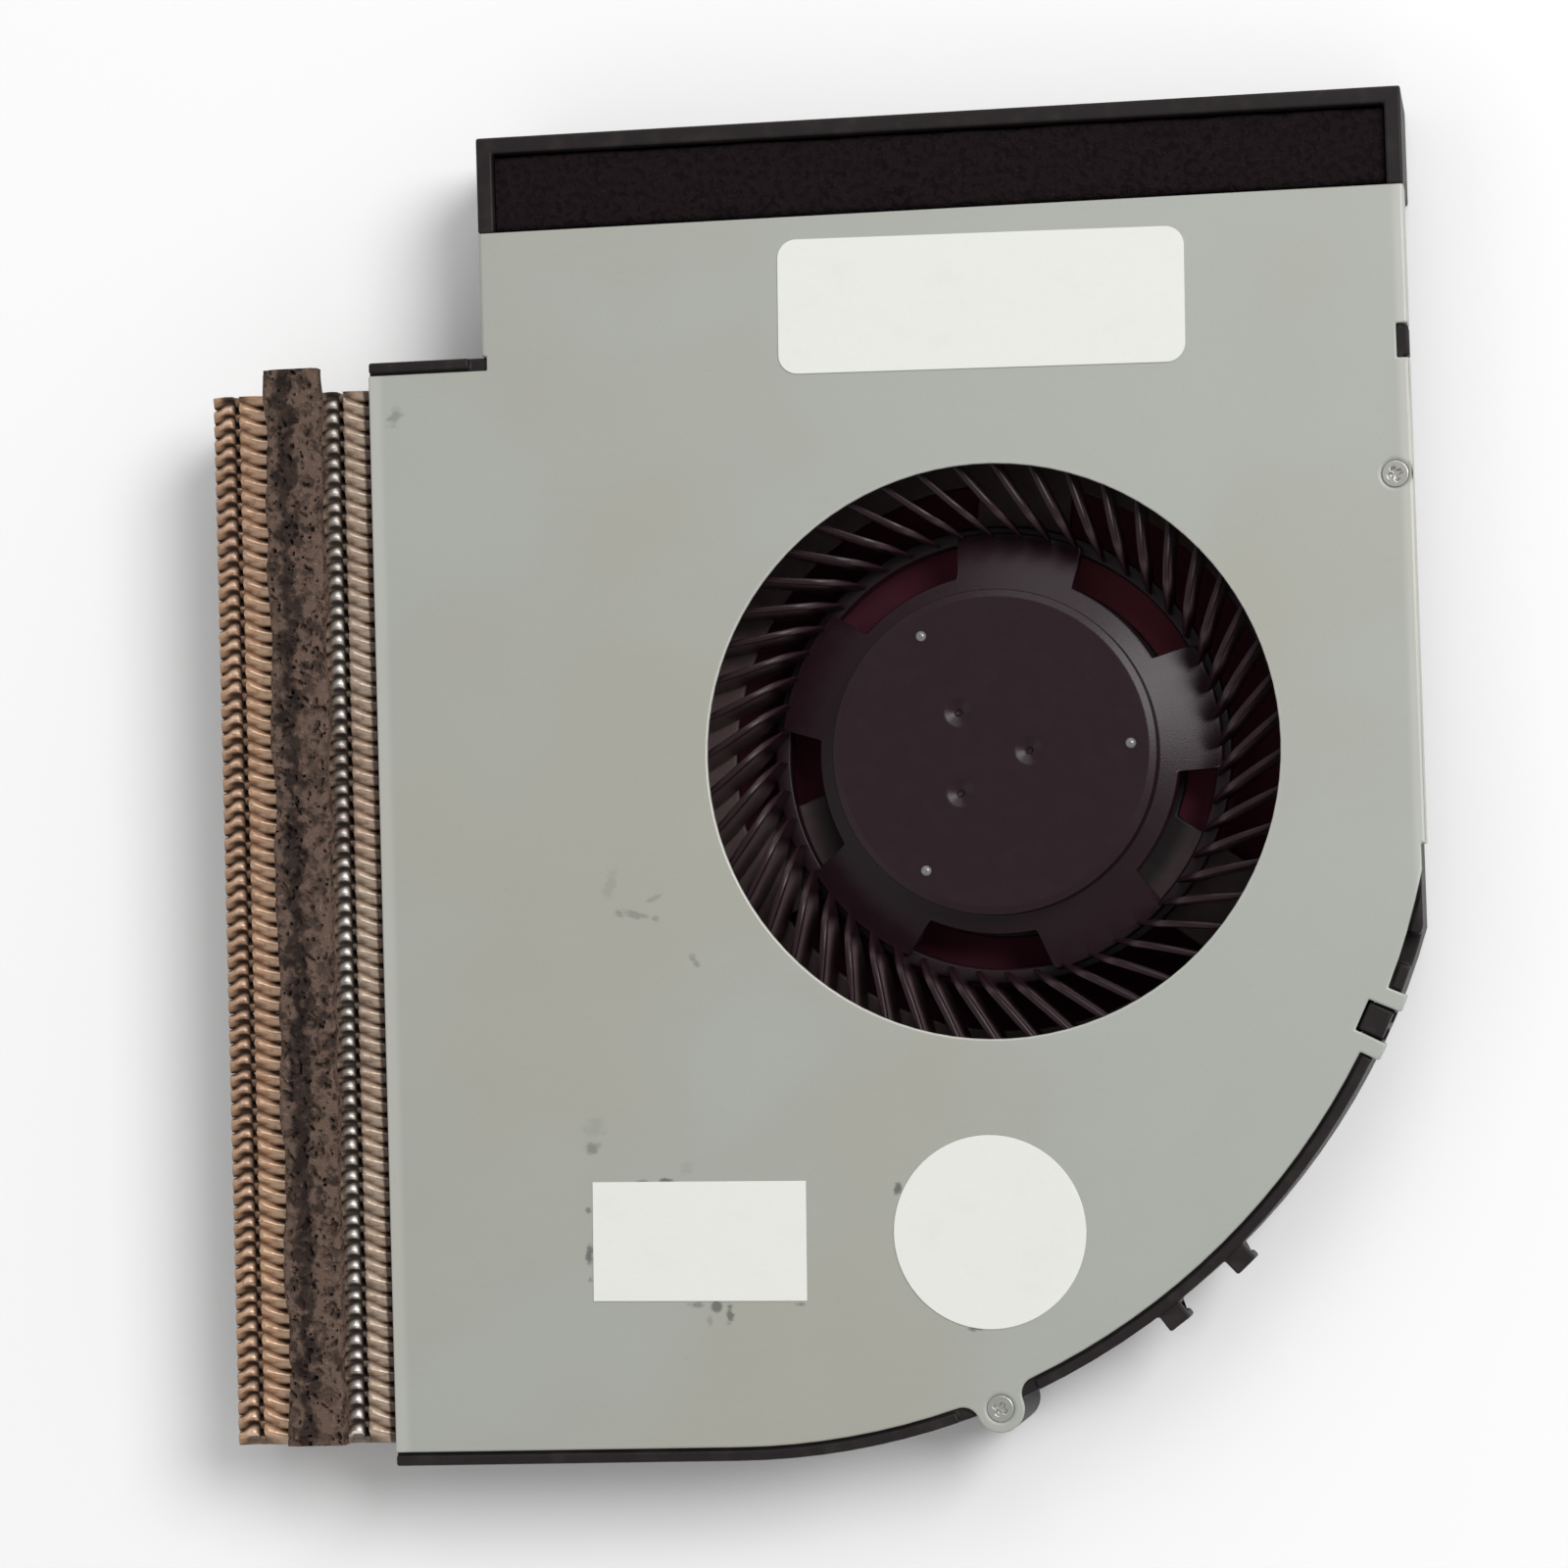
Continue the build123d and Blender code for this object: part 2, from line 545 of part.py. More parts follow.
def bearing_sleeve():
    """Sintered sleeve that the shaft runs in."""
    return ring(TUBE_BORE - SEAT_FIT, SHAFT_R + SHAFT_RUN, SLEEVE_BOTTOM, TUBE_TOP)


def thrust_pad():
    """Plastic pad that the shaft's end runs on."""
    return post((0, 0), TUBE_BORE - SEAT_FIT, FLOOR, PAD_TOP)


def stator_core():
    """Laminated core: a square middle, and on each arm a shoe that is round outside."""
    arm = Pos(SHOE_X / 2, 0) * Rectangle(SHOE_X + PAST, CORE_ARM)
    shoe = Pos(SHOE_X, 0) * Rectangle(CORE_SHOE, CORE_SHOE_SPAN, align=(Align.MIN, Align.CENTER))
    face = Rectangle(2 * CORE_HALF, 2 * CORE_HALF)
    for copy in around(arm + shoe, POLE_COUNT):
        face += copy
    return prism((face & Circle(CORE_R)) - Circle(CORE_BORE), CORE_BOTTOM, CORE_TOP)


def stator_coils():
    """Windings round the core's arms, one solid each."""
    half = CORE_ARM / 2 + SEAT_FIT
    build = COIL_BUILD - SEAT_FIT
    low = CORE_BOTTOM - SEAT_FIT
    high = CORE_TOP + SEAT_FIT
    start = CORE_HALF + COIL_END
    end = SHOE_X - COIL_END
    outside = slab((start, -half - build, low - build), (end, half + build, high + build))
    return around(outside - slab((start, -half, low), (end, half, high)), POLE_COUNT)


def motor_board():
    """Eight-sided circuit board on the floor, with a hole for the collar."""
    return prism(RegularPolygon(BOARD_R, BOARD_SIDES) - Circle(COLLAR_R + SEAT_FIT), FLOOR, BOARD_TOP)


def board_part(size, angle):
    """Small component on the board, between the collar and the magnet."""
    return Rot(0, 0, angle) * Pos(CHIP_AT, 0, BOARD_TOP + size[2] / 2) * Box(size[1], size[0], size[2])


NODES = {
    "base_housing": [base_housing()],
    "cover_plate": [cover_plate()],
    "cover_screws": cover_screws(),
    "fin_stack": fin_stack(),
    "fin_foam_strip": [fin_foam_strip()],
    "rear_foam_seal": [rear_foam_seal()],
    "label_rounded": [label(RectangleRounded(*BIG_LABEL, BIG_LABEL_ROUND), BIG_LABEL_AT)],
    "label_rectangle": [label(Rectangle(*SMALL_LABEL), SMALL_LABEL_AT)],
    "label_round": [label(Circle(ROUND_LABEL_R), ROUND_LABEL_AT)],
    "impeller": [impeller()],
    "rotor_yoke": [rotor_yoke()],
    "magnet_ring": [magnet_ring()],
    "shaft": [shaft()],
    "bearing_sleeve": [bearing_sleeve()],
    "thrust_pad": [thrust_pad()],
    "stator_core": [stator_core()],
    "stator_coils": stator_coils(),
    "motor_board": [motor_board()],
    "driver_chip": [board_part(CHIP, CHIP_ANGLE)],
    "board_capacitors": [board_part(CAPACITOR, angle) for angle in CAPACITOR_ANGLES],
}

os.makedirs("parts", exist_ok=True)
for name, shapes in NODES.items():
    solids = [solid for shape in shapes for solid in shape.solids()]
    export_step(Compound(solids), f"parts/{name}.step")
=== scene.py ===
"""Looks of a flat laptop blower with a zipper fin stack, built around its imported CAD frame."""

import logging
import math
from dataclasses import dataclass
from enum import Enum
from functools import reduce
from typing import ClassVar, NamedTuple, Union

import bmesh
import bpy
import numpy as np
from mathutils import Matrix, Vector


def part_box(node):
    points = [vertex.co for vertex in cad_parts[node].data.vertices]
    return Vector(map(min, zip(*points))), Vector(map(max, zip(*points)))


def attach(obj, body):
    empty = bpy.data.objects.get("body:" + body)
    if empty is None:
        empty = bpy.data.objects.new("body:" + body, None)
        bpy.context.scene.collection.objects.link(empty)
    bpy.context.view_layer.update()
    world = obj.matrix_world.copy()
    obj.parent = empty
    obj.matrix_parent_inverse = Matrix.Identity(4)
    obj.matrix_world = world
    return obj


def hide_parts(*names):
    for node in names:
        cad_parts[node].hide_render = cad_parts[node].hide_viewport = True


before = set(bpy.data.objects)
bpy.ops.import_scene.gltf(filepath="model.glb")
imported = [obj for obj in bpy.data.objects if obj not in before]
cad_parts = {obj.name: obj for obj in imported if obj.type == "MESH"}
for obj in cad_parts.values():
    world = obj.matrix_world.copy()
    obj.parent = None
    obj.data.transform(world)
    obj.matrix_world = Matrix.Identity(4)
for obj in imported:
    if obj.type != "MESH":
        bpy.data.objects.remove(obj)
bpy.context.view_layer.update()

LOG = logging.getLogger("blower")
MM = 0.001
COVER_LEFT = -45.6          # X of the cover's edge beside the fins
COVER_RIGHT = 31.05         # X of the cover's opposite edge
Pair = tuple[float, float]
Triple = tuple[float, float, float]
Colour = tuple[float, float, float, float]
Number = Union[float, "Signal"]


class Body(Enum):
    """Rigid bodies of the blower."""

    CASE = "case"
    ROTOR = "rotor"


class Slot(Enum):
    """Material slots."""

    HOUSING = "housing_plastic"
    COVER = "cover_steel"
    SCREW = "screw_steel"
    FIN = "fin_copper"
    STRIP = "strip_foam"
    SEAL = "seal_foam"
    LABEL = "label_paper"
    IMPELLER = "impeller_plastic"


class Axis(Enum):
    """Directions of the shared frame, with their place in a point."""

    X = 0
    Y = 1
    Z = 2


def rgb(red: float, green: float, blue: float) -> Colour:
    """Opaque colour from three linear values."""
    return (red, green, blue, 1.0)


def node_box(node: str) -> np.ndarray:
    """Lowest and highest corner of a CAD node, in millimetres."""
    return np.array([tuple(corner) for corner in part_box(node)]) / MM


def smooth(value: np.ndarray, low: float, high: float) -> np.ndarray:
    """Smooth step: 0 below low, 1 above high, 3t^2 - 2t^3 between."""
    t = np.clip((value - low) / (high - low), 0.0, 1.0)
    return t * t * (3.0 - 2.0 * t)


def stack(*parts: np.ndarray) -> np.ndarray:
    """Joins x, y and z arrays of any shapes that fit each other into points."""
    return np.stack(np.broadcast_arrays(*parts), axis=-1)


def turned(points: np.ndarray, degrees: np.ndarray) -> np.ndarray:
    """Copies of points turned about the impeller's axis.

    Args:
        points: array of shape (..., 3).
        degrees: one angle for each copy.

    Returns:
        Array of shape (copies, ..., 3).
    """
    angle = np.radians(np.asarray(degrees)).reshape(-1, *([1] * (points.ndim - 1)))
    x, y, z = np.moveaxis(points, -1, 0)
    return stack(x * np.cos(angle) - y * np.sin(angle), x * np.sin(angle) + y * np.cos(angle), z)


def revolved(radius: np.ndarray, height: np.ndarray, steps: int) -> np.ndarray:
    """Profile turned about the impeller's axis: (r cos a, r sin a, z).

    Args:
        radius: radii along the profile.
        height: heights along the profile.
        steps: points round the axis.

    Returns:
        Grid of points with the profile along its rows and the turn along its columns.
    """
    angle = np.linspace(0.0, 2.0 * np.pi, steps, endpoint=False)
    return stack(radius[:, None] * np.cos(angle), radius[:, None] * np.sin(angle), height[:, None])


def arc(centre: Pair, radius: float, start: float, end: float, count: int) -> np.ndarray:
    """Points along an arc of a profile, with angles in degrees."""
    angle = np.radians(np.linspace(start, end, count))
    return stack(centre[0] + radius * np.cos(angle), centre[1] + radius * np.sin(angle))


class Shell:
    """Points and quads of one piece, gathered from grids before they become a mesh."""

    join: ClassVar[float] = 1e-7        # points nearer to each other than this become one, in metres
    sliver: ClassVar[float] = 1e-8      # shorter edges are taken out

    def __init__(self) -> None:
        """Starts with no points."""
        self._points: list[np.ndarray] = []
        self._quads: list[np.ndarray] = []
        self._count = 0

    def grid(self, points: np.ndarray, wrap_rows: bool = False, wrap_columns: bool = False) -> "Shell":
        """Adds grids of points, with a quad between each four neighbours.

        Args:
            points: array of shape (..., rows, columns, 3), in millimetres.
            wrap_rows: joins the last row to the first.
            wrap_columns: joins the last column to the first.

        Returns:
            The shell itself.
        """
        rows, columns = points.shape[-3:-1]
        index = np.arange(rows * columns).reshape(rows, columns)
        if wrap_rows:
            index = np.vstack([index, index[:1]])
        if wrap_columns:
            index = np.hstack([index, index[:, :1]])
        corners = [index[:-1, :-1], index[1:, :-1], index[1:, 1:], index[:-1, 1:]]
        quads = np.stack(corners, axis=-1).reshape(-1, 4)
        copies = points.reshape(-1, rows * columns, 3)
        starts = self._count + np.arange(len(copies)) * rows * columns
        self._quads.append((starts[:, None, None] + quads).reshape(-1, 4))
        self._points.append(copies.reshape(-1, 3))
        self._count += len(copies) * rows * columns
        return self

    def mesh(self, name: str, sharp: float = 40.0) -> bpy.types.Mesh:
        """Makes the mesh: joins seams and poles, turns faces outwards and shades it.

        Args:
            name: name of the mesh and of its piece.
            sharp: edges that bend by more degrees than this stay sharp.

        Returns:
            The finished mesh, in metres.
        """
        points = np.concatenate(self._points) * MM
        quads = np.concatenate(self._quads)
        mesh = bpy.data.meshes.new(name)
        mesh.vertices.add(len(points))
        mesh.vertices.foreach_set("co", points.astype(np.float32).ravel())
        mesh.loops.add(quads.size)
        mesh.loops.foreach_set("vertex_index", quads.astype(np.int32).ravel())
        mesh.polygons.add(len(quads))
        mesh.polygons.foreach_set("loop_start", np.arange(0, quads.size, 4, dtype=np.int32))
        mesh.update(calc_edges=True)
        work = bmesh.new()
        work.from_mesh(mesh)
        bmesh.ops.remove_doubles(work, verts=work.verts, dist=self.join)
        bmesh.ops.dissolve_degenerate(work, edges=work.edges, dist=self.sliver)
        bmesh.ops.recalc_face_normals(work, faces=work.faces)
        work.to_mesh(mesh)
        work.free()
        mesh.shade_smooth()
        mesh.set_sharp_from_angle(angle=math.radians(sharp))
        return mesh


def show(mesh: bpy.types.Mesh, body: Body, slot: Slot, finish: "Finish", *nodes: str) -> bpy.types.Object:
    """Puts a mesh into the scene as a piece.

    Args:
        mesh: the piece's mesh.
        body: the body that it rides on.
        slot: not used.
        finish: its finish.
        nodes: CAD nodes that it stands for.

    Returns:
        The new object.
    """
    piece = bpy.data.objects.new(mesh.name, mesh)
    bpy.context.collection.objects.link(piece)
    mesh.materials.clear()
    mesh.materials.append(finish.material())
    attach(piece, body.value)
    if nodes:
        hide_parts(*nodes)
    LOG.info("%s: %d faces", mesh.name, len(mesh.polygons))
    return piece


class Signal:
    """A shader socket that takes part in Python arithmetic: each operation adds a Math node."""

    def __init__(self, tree: "Tree", socket: bpy.types.NodeSocket) -> None:
        """Keeps the socket and the tree that it belongs to."""
        self.tree = tree
        self.socket = socket

    def _math(self, operation: str, first: Number, second: Number = 0.0) -> "Signal":
        """Adds one Math node."""
        return self.tree.node("ShaderNodeMath", {"operation": operation}, {0: first, 1: second})

    def __add__(self, other: Number) -> "Signal":
        """Sum."""
        return self._math("ADD", self, other)

    def __radd__(self, other: Number) -> "Signal":
        """Sum with a number first."""
        return self._math("ADD", other, self)

    def __sub__(self, other: Number) -> "Signal":
        """Difference."""
        return self._math("SUBTRACT", self, other)

    def __rsub__(self, other: Number) -> "Signal":
        """Difference from a number."""
        return self._math("SUBTRACT", other, self)

    def __mul__(self, other: Number) -> "Signal":
        """Product."""
        return self._math("MULTIPLY", self, other)

    def __rmul__(self, other: Number) -> "Signal":
        """Product with a number first."""
        return self._math("MULTIPLY", other, self)

    def most(self, other: Number) -> "Signal":
        """The larger of two values."""
        return self._math("MAXIMUM", self, other)

    def length(self) -> "Signal":
        """Size of the value without its sign."""
        return self._math("ABSOLUTE", self)

    def sine(self) -> "Signal":
        """Sine of the value."""
        return self._math("SINE", self)

    def step(self, low: float, high: float) -> "Signal":
        """Smooth step from 0 at low to 1 at high."""
        sockets = {"Value": self, "From Min": low, "From Max": high}
        return self.tree.node("ShaderNodeMapRange", {"interpolation_type": "SMOOTHSTEP"}, sockets)

    def between(self, start: float, end: float) -> "Signal":
        """Smooth step of a length from 0 to 1 between two measures in millimetres."""
        return self.step(start * MM, end * MM)


@dataclass(frozen=True)
class Pattern:
    """Noise over a surface, and the smooth step that may sharpen it."""

    size: float                             # width of a feature in millimetres
    detail: float = 2.0                     # octaves of finer noise
    stretch: Triple = (1.0, 1.0, 1.0)       # how many times as long the features are along each axis
    limits: Pair | None = None              # noise values between which the pattern goes from 0 to 1
    share: float = 1.0                      # how strongly it acts on the colour
    rough: float = 0.0                      # how much it adds to the roughness
    relief: float = 1.0                     # its part of the relief


class Tree:
    """Node tree of a material or of the world."""

    def __init__(self, owner: bpy.types.Material | bpy.types.World) -> None:
        """Empties the owner's node tree.

        Args:
            owner: a new material or world.
        """
        owner.use_nodes = True
        self.owner = owner
        self.tree = owner.node_tree
        self.tree.nodes.clear()

    def node(
        self, kind: str, settings: dict | None = None, sockets: dict | None = None, out: int | str | None = 0
    ) -> Signal | None:
        """Adds one node.

        Args:
            kind: the node's type.
            settings: its own options, set first.
            sockets: values or links of its inputs.
            out: the output that is returned, None for a node without outputs.

        Returns:
            The chosen output.
        """
        made = self.tree.nodes.new(kind)
        for key, value in (settings or {}).items():
            setattr(made, key, value)
        for key, value in (sockets or {}).items():
            if isinstance(value, Signal):
                self.tree.links.new(value.socket, made.inputs[key])
            else:
                made.inputs[key].default_value = value
        return None if out is None else Signal(self, made.outputs[out])

    def place(self) -> Signal:
        """Object coordinates, in metres."""
        return self.node("ShaderNodeTexCoord", out="Object")

    def axis(self, axis: Axis) -> Signal:
        """One object coordinate, in metres."""
        return self.node("ShaderNodeSeparateXYZ", None, {0: self.place()}, axis.name)

    def size(self, vector: Signal) -> Signal:
        """Length of a vector."""
        return self.node("ShaderNodeVectorMath", {"operation": "LENGTH"}, {0: vector}, "Value")

    def radius(self) -> Signal:
        """Distance from the impeller's axis, in metres."""
        flat = {0: self.place(), 1: (1.0, 1.0, 0.0)}
        return self.size(self.node("ShaderNodeVectorMath", {"operation": "MULTIPLY"}, flat))

    def pattern(self, pattern: Pattern) -> Signal:
        """Noise over the surface.

        Args:
            pattern: its size, detail, stretch and limits.

        Returns:
            Values from 0 to 1, round 0.5 where no limits sharpen them.
        """
        scale = tuple(1.0 / (pattern.size * MM * times) for times in pattern.stretch)
        spread = self.node("ShaderNodeMapping", None, {"Vector": self.place(), "Scale": scale})
        sockets = {"Vector": spread, "Scale": 1.0, "Detail": pattern.detail}
        noise = self.node("ShaderNodeTexNoise", None, sockets)
        return noise if pattern.limits is None else noise.step(*pattern.limits)

    def mix(self, share: Number, first: Colour | Signal, second: Colour | Signal) -> Signal:
        """Colour between two colours."""
        return self.node("ShaderNodeMix", {"data_type": "RGBA"}, {0: share, 6: first, 7: second}, 2)

    def bump(self, height: Signal, depth: float, under: Signal | None = None) -> Signal:
        """Normal of a relief.

        Args:
            height: the relief, from 0 to 1.
            depth: what a height of 1 stands for, in millimetres.
            under: a normal that it adds to.

        Returns:
            The normal.
        """
        sockets = {"Height": height, "Distance": depth * MM, "Strength": 1.0}
        if under is not None:
            sockets["Normal"] = under
        return self.node("ShaderNodeBump", None, sockets)

    def surface(self, sockets: dict) -> bpy.types.Material:
        """Closes a material's tree with a Principled shader.

        Args:
            sockets: values or links of the shader's inputs.

        Returns:
            The finished material.
        """
        shader = self.node("ShaderNodeBsdfPrincipled", None, sockets)
        self.node("ShaderNodeOutputMaterial", None, {"Surface": shader}, None)
        return self.owner


@dataclass(frozen=True)
class Finish:
    """A surface finish; its material is made once and shared."""

    name: str
    made: ClassVar[dict[str, bpy.types.Material]] = {}

    def material(self) -> bpy.types.Material:
        """Makes the material on its first use.

        Returns:
            The material that all pieces with this finish share.
        """
        if self.name not in Finish.made:
            tree = Tree(bpy.data.materials.new(self.name))
            Finish.made[self.name] = tree.surface(self.sockets(tree))
        return Finish.made[self.name]

    def sockets(self, tree: Tree) -> dict:
        """Inputs of the Principled shader; each finish has its own."""
        raise NotImplementedError


@dataclass(frozen=True)
class Smudge:
    """A dark mark on the cover: place, half lengths and turn, in millimetres and degrees."""

    x: float
    y: float
    along: float
    across: float
    turn: float
    depth: float
    ragged_edge: ClassVar[Pair] = (0.25, 0.95)      # parts of the half length between which the mark ends
    outer_edge: ClassVar[Pair] = (0.7, 1.5)         # the same for what its ragged edge may reach

    def mask(self, tree: Tree, ragged: Signal) -> Signal:
        """Mark with a ragged soft edge: steps of the distance from its middle, with and without noise.

        Args:
            tree: the material's tree.
            ragged: noise round 0 that frays the edge.

        Returns:
            Values from 0 to the mark's depth.
        """
        sockets = {
            "Vector": tree.place(),
            "Location": (self.x * MM, self.y * MM, 0.0),
            "Rotation": (0.0, 0.0, math.radians(self.turn)),
            "Scale": (self.along * MM, self.across * MM, 1.0),
        }
        reach = tree.size(tree.node("ShaderNodeMapping", {"vector_type": "TEXTURE"}, sockets))
        frayed = 1.0 - (reach + ragged).step(*self.ragged_edge)
        return frayed * (1.0 - reach.step(*self.outer_edge)) * self.depth


@dataclass(frozen=True)
class RolledSteel(Finish):
    """Satin rolled steel sheet with finger marks, a bright cut edge round the inlet, and painted highlights
    along its left and right edges.
    """

    warm: Colour = rgb(0.395, 0.393, 0.342)
    cool: Colour = rgb(0.404, 0.424, 0.390)
    drawn: Colour = rgb(0.48, 0.48, 0.435)          # along the rolling lines
    mark: Colour = rgb(0.10, 0.115, 0.10)
    # tone of the bright cut edge at the inlet and of the painted highlights along the left and right edges
    cut_edge_and_highlight: Colour = rgb(0.62, 0.61, 0.57)
    clouds: Pattern = Pattern(26.0, limits=(0.36, 0.64))
    lines: Pattern = Pattern(0.09, 3.0, (60.0, 1.0, 1.0), share=0.30, rough=0.12, relief=0.6)
    grain: Pattern = Pattern(0.16, 4.0, share=0.16, relief=0.4)
    specks: Pair = (0.62, 0.75)                     # values of the grain between which specks show
    fray: Pattern = Pattern(0.45, 6.0, (1.6, 1.0, 1.0), share=1.8)
    film: Pattern = Pattern(7.0, 3.0, limits=(0.4, 0.7), rough=0.06)
    drawn_share: float = 0.10
    mark_rough: float = 0.2
    relief: float = 0.006
    metallic: float = 0.4
    rough: float = 0.56
    # bright bands: start, end and share, from the inlet's radius (its bright cut edge) and from the left and
    # right edges (painted highlights)
    inlet: float = 20.9
    inlet_band: Triple = (0.0, 0.22, 0.7)
    left_edge_highlight: Triple = (0.6, 1.3, 0.3)
    right_edge_highlight: Triple = (-1.1, -0.5, 0.35)
    smudges: tuple[Smudge, ...] = ()

    def edges(self, tree: Tree) -> Signal:
        """Bright bands: a smooth step of the distance from the inlet's rim for its cut edge, and smooth steps
        of the distance from the two straight edges for painted highlights.

        Args:
            tree: the material's tree.

        Returns:
            Share of the bright tone of the cut edge and of the painted highlights.
        """
        start, end, share = self.inlet_band
        rim = (1.0 - tree.radius().between(self.inlet + start, self.inlet + end)) * share
        start, end, share = self.left_edge_highlight
        left = (1.0 - tree.axis(Axis.X).between(COVER_LEFT + start, COVER_LEFT + end)) * share
        start, end, share = self.right_edge_highlight
        right = tree.axis(Axis.X).between(COVER_RIGHT + start, COVER_RIGHT + end) * share
        return rim.most(left).most(right)

    def sockets(self, tree: Tree) -> dict:
        """Broad clouds of tone, fine rolling lines, marks from handling, a bright cut edge and painted
        highlights along the straight edges.

        Args:
            tree: the material's tree.

        Returns:
            Inputs of the shader.
        """
        lines = tree.pattern(self.lines)
        grain = tree.pattern(self.grain)
        fray = (tree.pattern(self.fray) - 0.5) * self.fray.share
        marks = reduce(Signal.most, [smudge.mask(tree, fray) for smudge in self.smudges])
        colour = tree.mix(tree.pattern(self.clouds), self.warm, self.cool)
        colour = tree.mix((lines - 0.5) * self.lines.share + self.drawn_share, colour, self.drawn)
        colour = tree.mix(grain.step(*self.specks) * self.grain.share, colour, self.mark)
        colour = tree.mix(marks, colour, self.mark)
        # the bright cut edge round the inlet, and painted highlights along the left and right edges
        colour = tree.mix(self.edges(tree), colour, self.cut_edge_and_highlight)
        rough = self.rough + tree.pattern(self.film) * self.film.rough
        rough = rough + (lines - 0.5) * self.lines.rough + marks * self.mark_rough
        relief = tree.bump(lines * self.lines.relief + grain * self.grain.relief, self.relief)
        return {"Base Color": colour, "Metallic": self.metallic, "Roughness": rough, "Normal": relief}


@dataclass(frozen=True)
class DustAndPaintedLight:
    """Dust that the air has left inside, between two radii and below a height where it starts; paler than the
    plastic and fullest deep inside, it is also painted light that lifts the shade there.

    The second height is where it is full. The underside of the case stays free of it.
    """

    tone: Colour
    share: float
    band: Pair
    height: Pair
    fade_in: float = 1.0                    # width over which it starts, inside the band's inner radius
    fade_out: float = 1.0                   # width over which it ends, outside the outer radius
    floor: Pair = (0.5, 0.9)                # heights between which it starts above the underside
    least: float = 0.7                      # share of the film where it is thinnest
    patches: Pattern = Pattern(1.2, 4.0, share=0.6)

    def over(self, tree: Tree, colour: Signal) -> Signal:
        """Lays the uneven film of dust and painted light on a colour: smooth steps of radius and height,
        multiplied with noise.

        Args:
            tree: the material's tree.
            colour: the clean colour.

        Returns:
            The dusty colour.
        """
        inner, outer = self.band
        # paler deeper inside: dust, and painted light that lifts the shade of the depths
        past = tree.radius().between(inner - self.fade_in, inner)
        within = 1.0 - tree.radius().between(outer, outer + self.fade_out)
        deep = tree.axis(Axis.Z).between(*self.height)
        above = tree.axis(Axis.Z).between(*self.floor)
        uneven = tree.pattern(self.patches) * self.patches.share + self.least
        return tree.mix(past * within * deep * above * uneven * self.share, colour, self.tone)


@dataclass(frozen=True)
class MouldedPlastic(Finish):
    """Moulded plastic with a fine eroded grain, and where given a film of dust that is also painted light in
    the shaded depths.
    """

    tone: Colour
    dust: Colour
    dusty: float                            # share of the dust
    rough: float
    gloss: float                            # level of the plain reflection
    grain: Pattern = Pattern(0.12, 3.0, share=0.2)
    clouds: Pattern = Pattern(6.0, 3.0, rough=0.05)
    patches: Pattern = Pattern(1.6, 5.0, limits=(0.45, 0.75), rough=0.2)
    relief: float = 0.008
    film: DustAndPaintedLight | None = None

    def sockets(self, tree: Tree) -> dict:
        """Grain in relief, slow changes of gloss, and dust in soft patches.

        Args:
            tree: the material's tree.

        Returns:
            Inputs of the shader.
        """
        grain = tree.pattern(self.grain)
        dust = tree.pattern(self.patches) * self.dusty
        colour = tree.mix(dust + (grain - 0.5) * self.grain.share * self.dusty, self.tone, self.dust)
        if self.film is not None:
            colour = self.film.over(tree, colour)
        rough = self.rough + (tree.pattern(self.clouds) - 0.5) * self.clouds.rough + dust * self.patches.rough
        relief = tree.bump(grain, self.relief)
        return {"Base Color": colour, "Roughness": rough, "Normal": relief, "Specular IOR Level": self.gloss}


@dataclass(frozen=True)
class RubbedRow:
    """A zipper row of the fins, rubbed bright on top."""

    x: float
    tone: Colour
    share: float
    painted_shade: float                            # how much higher than elsewhere its painted shade reaches


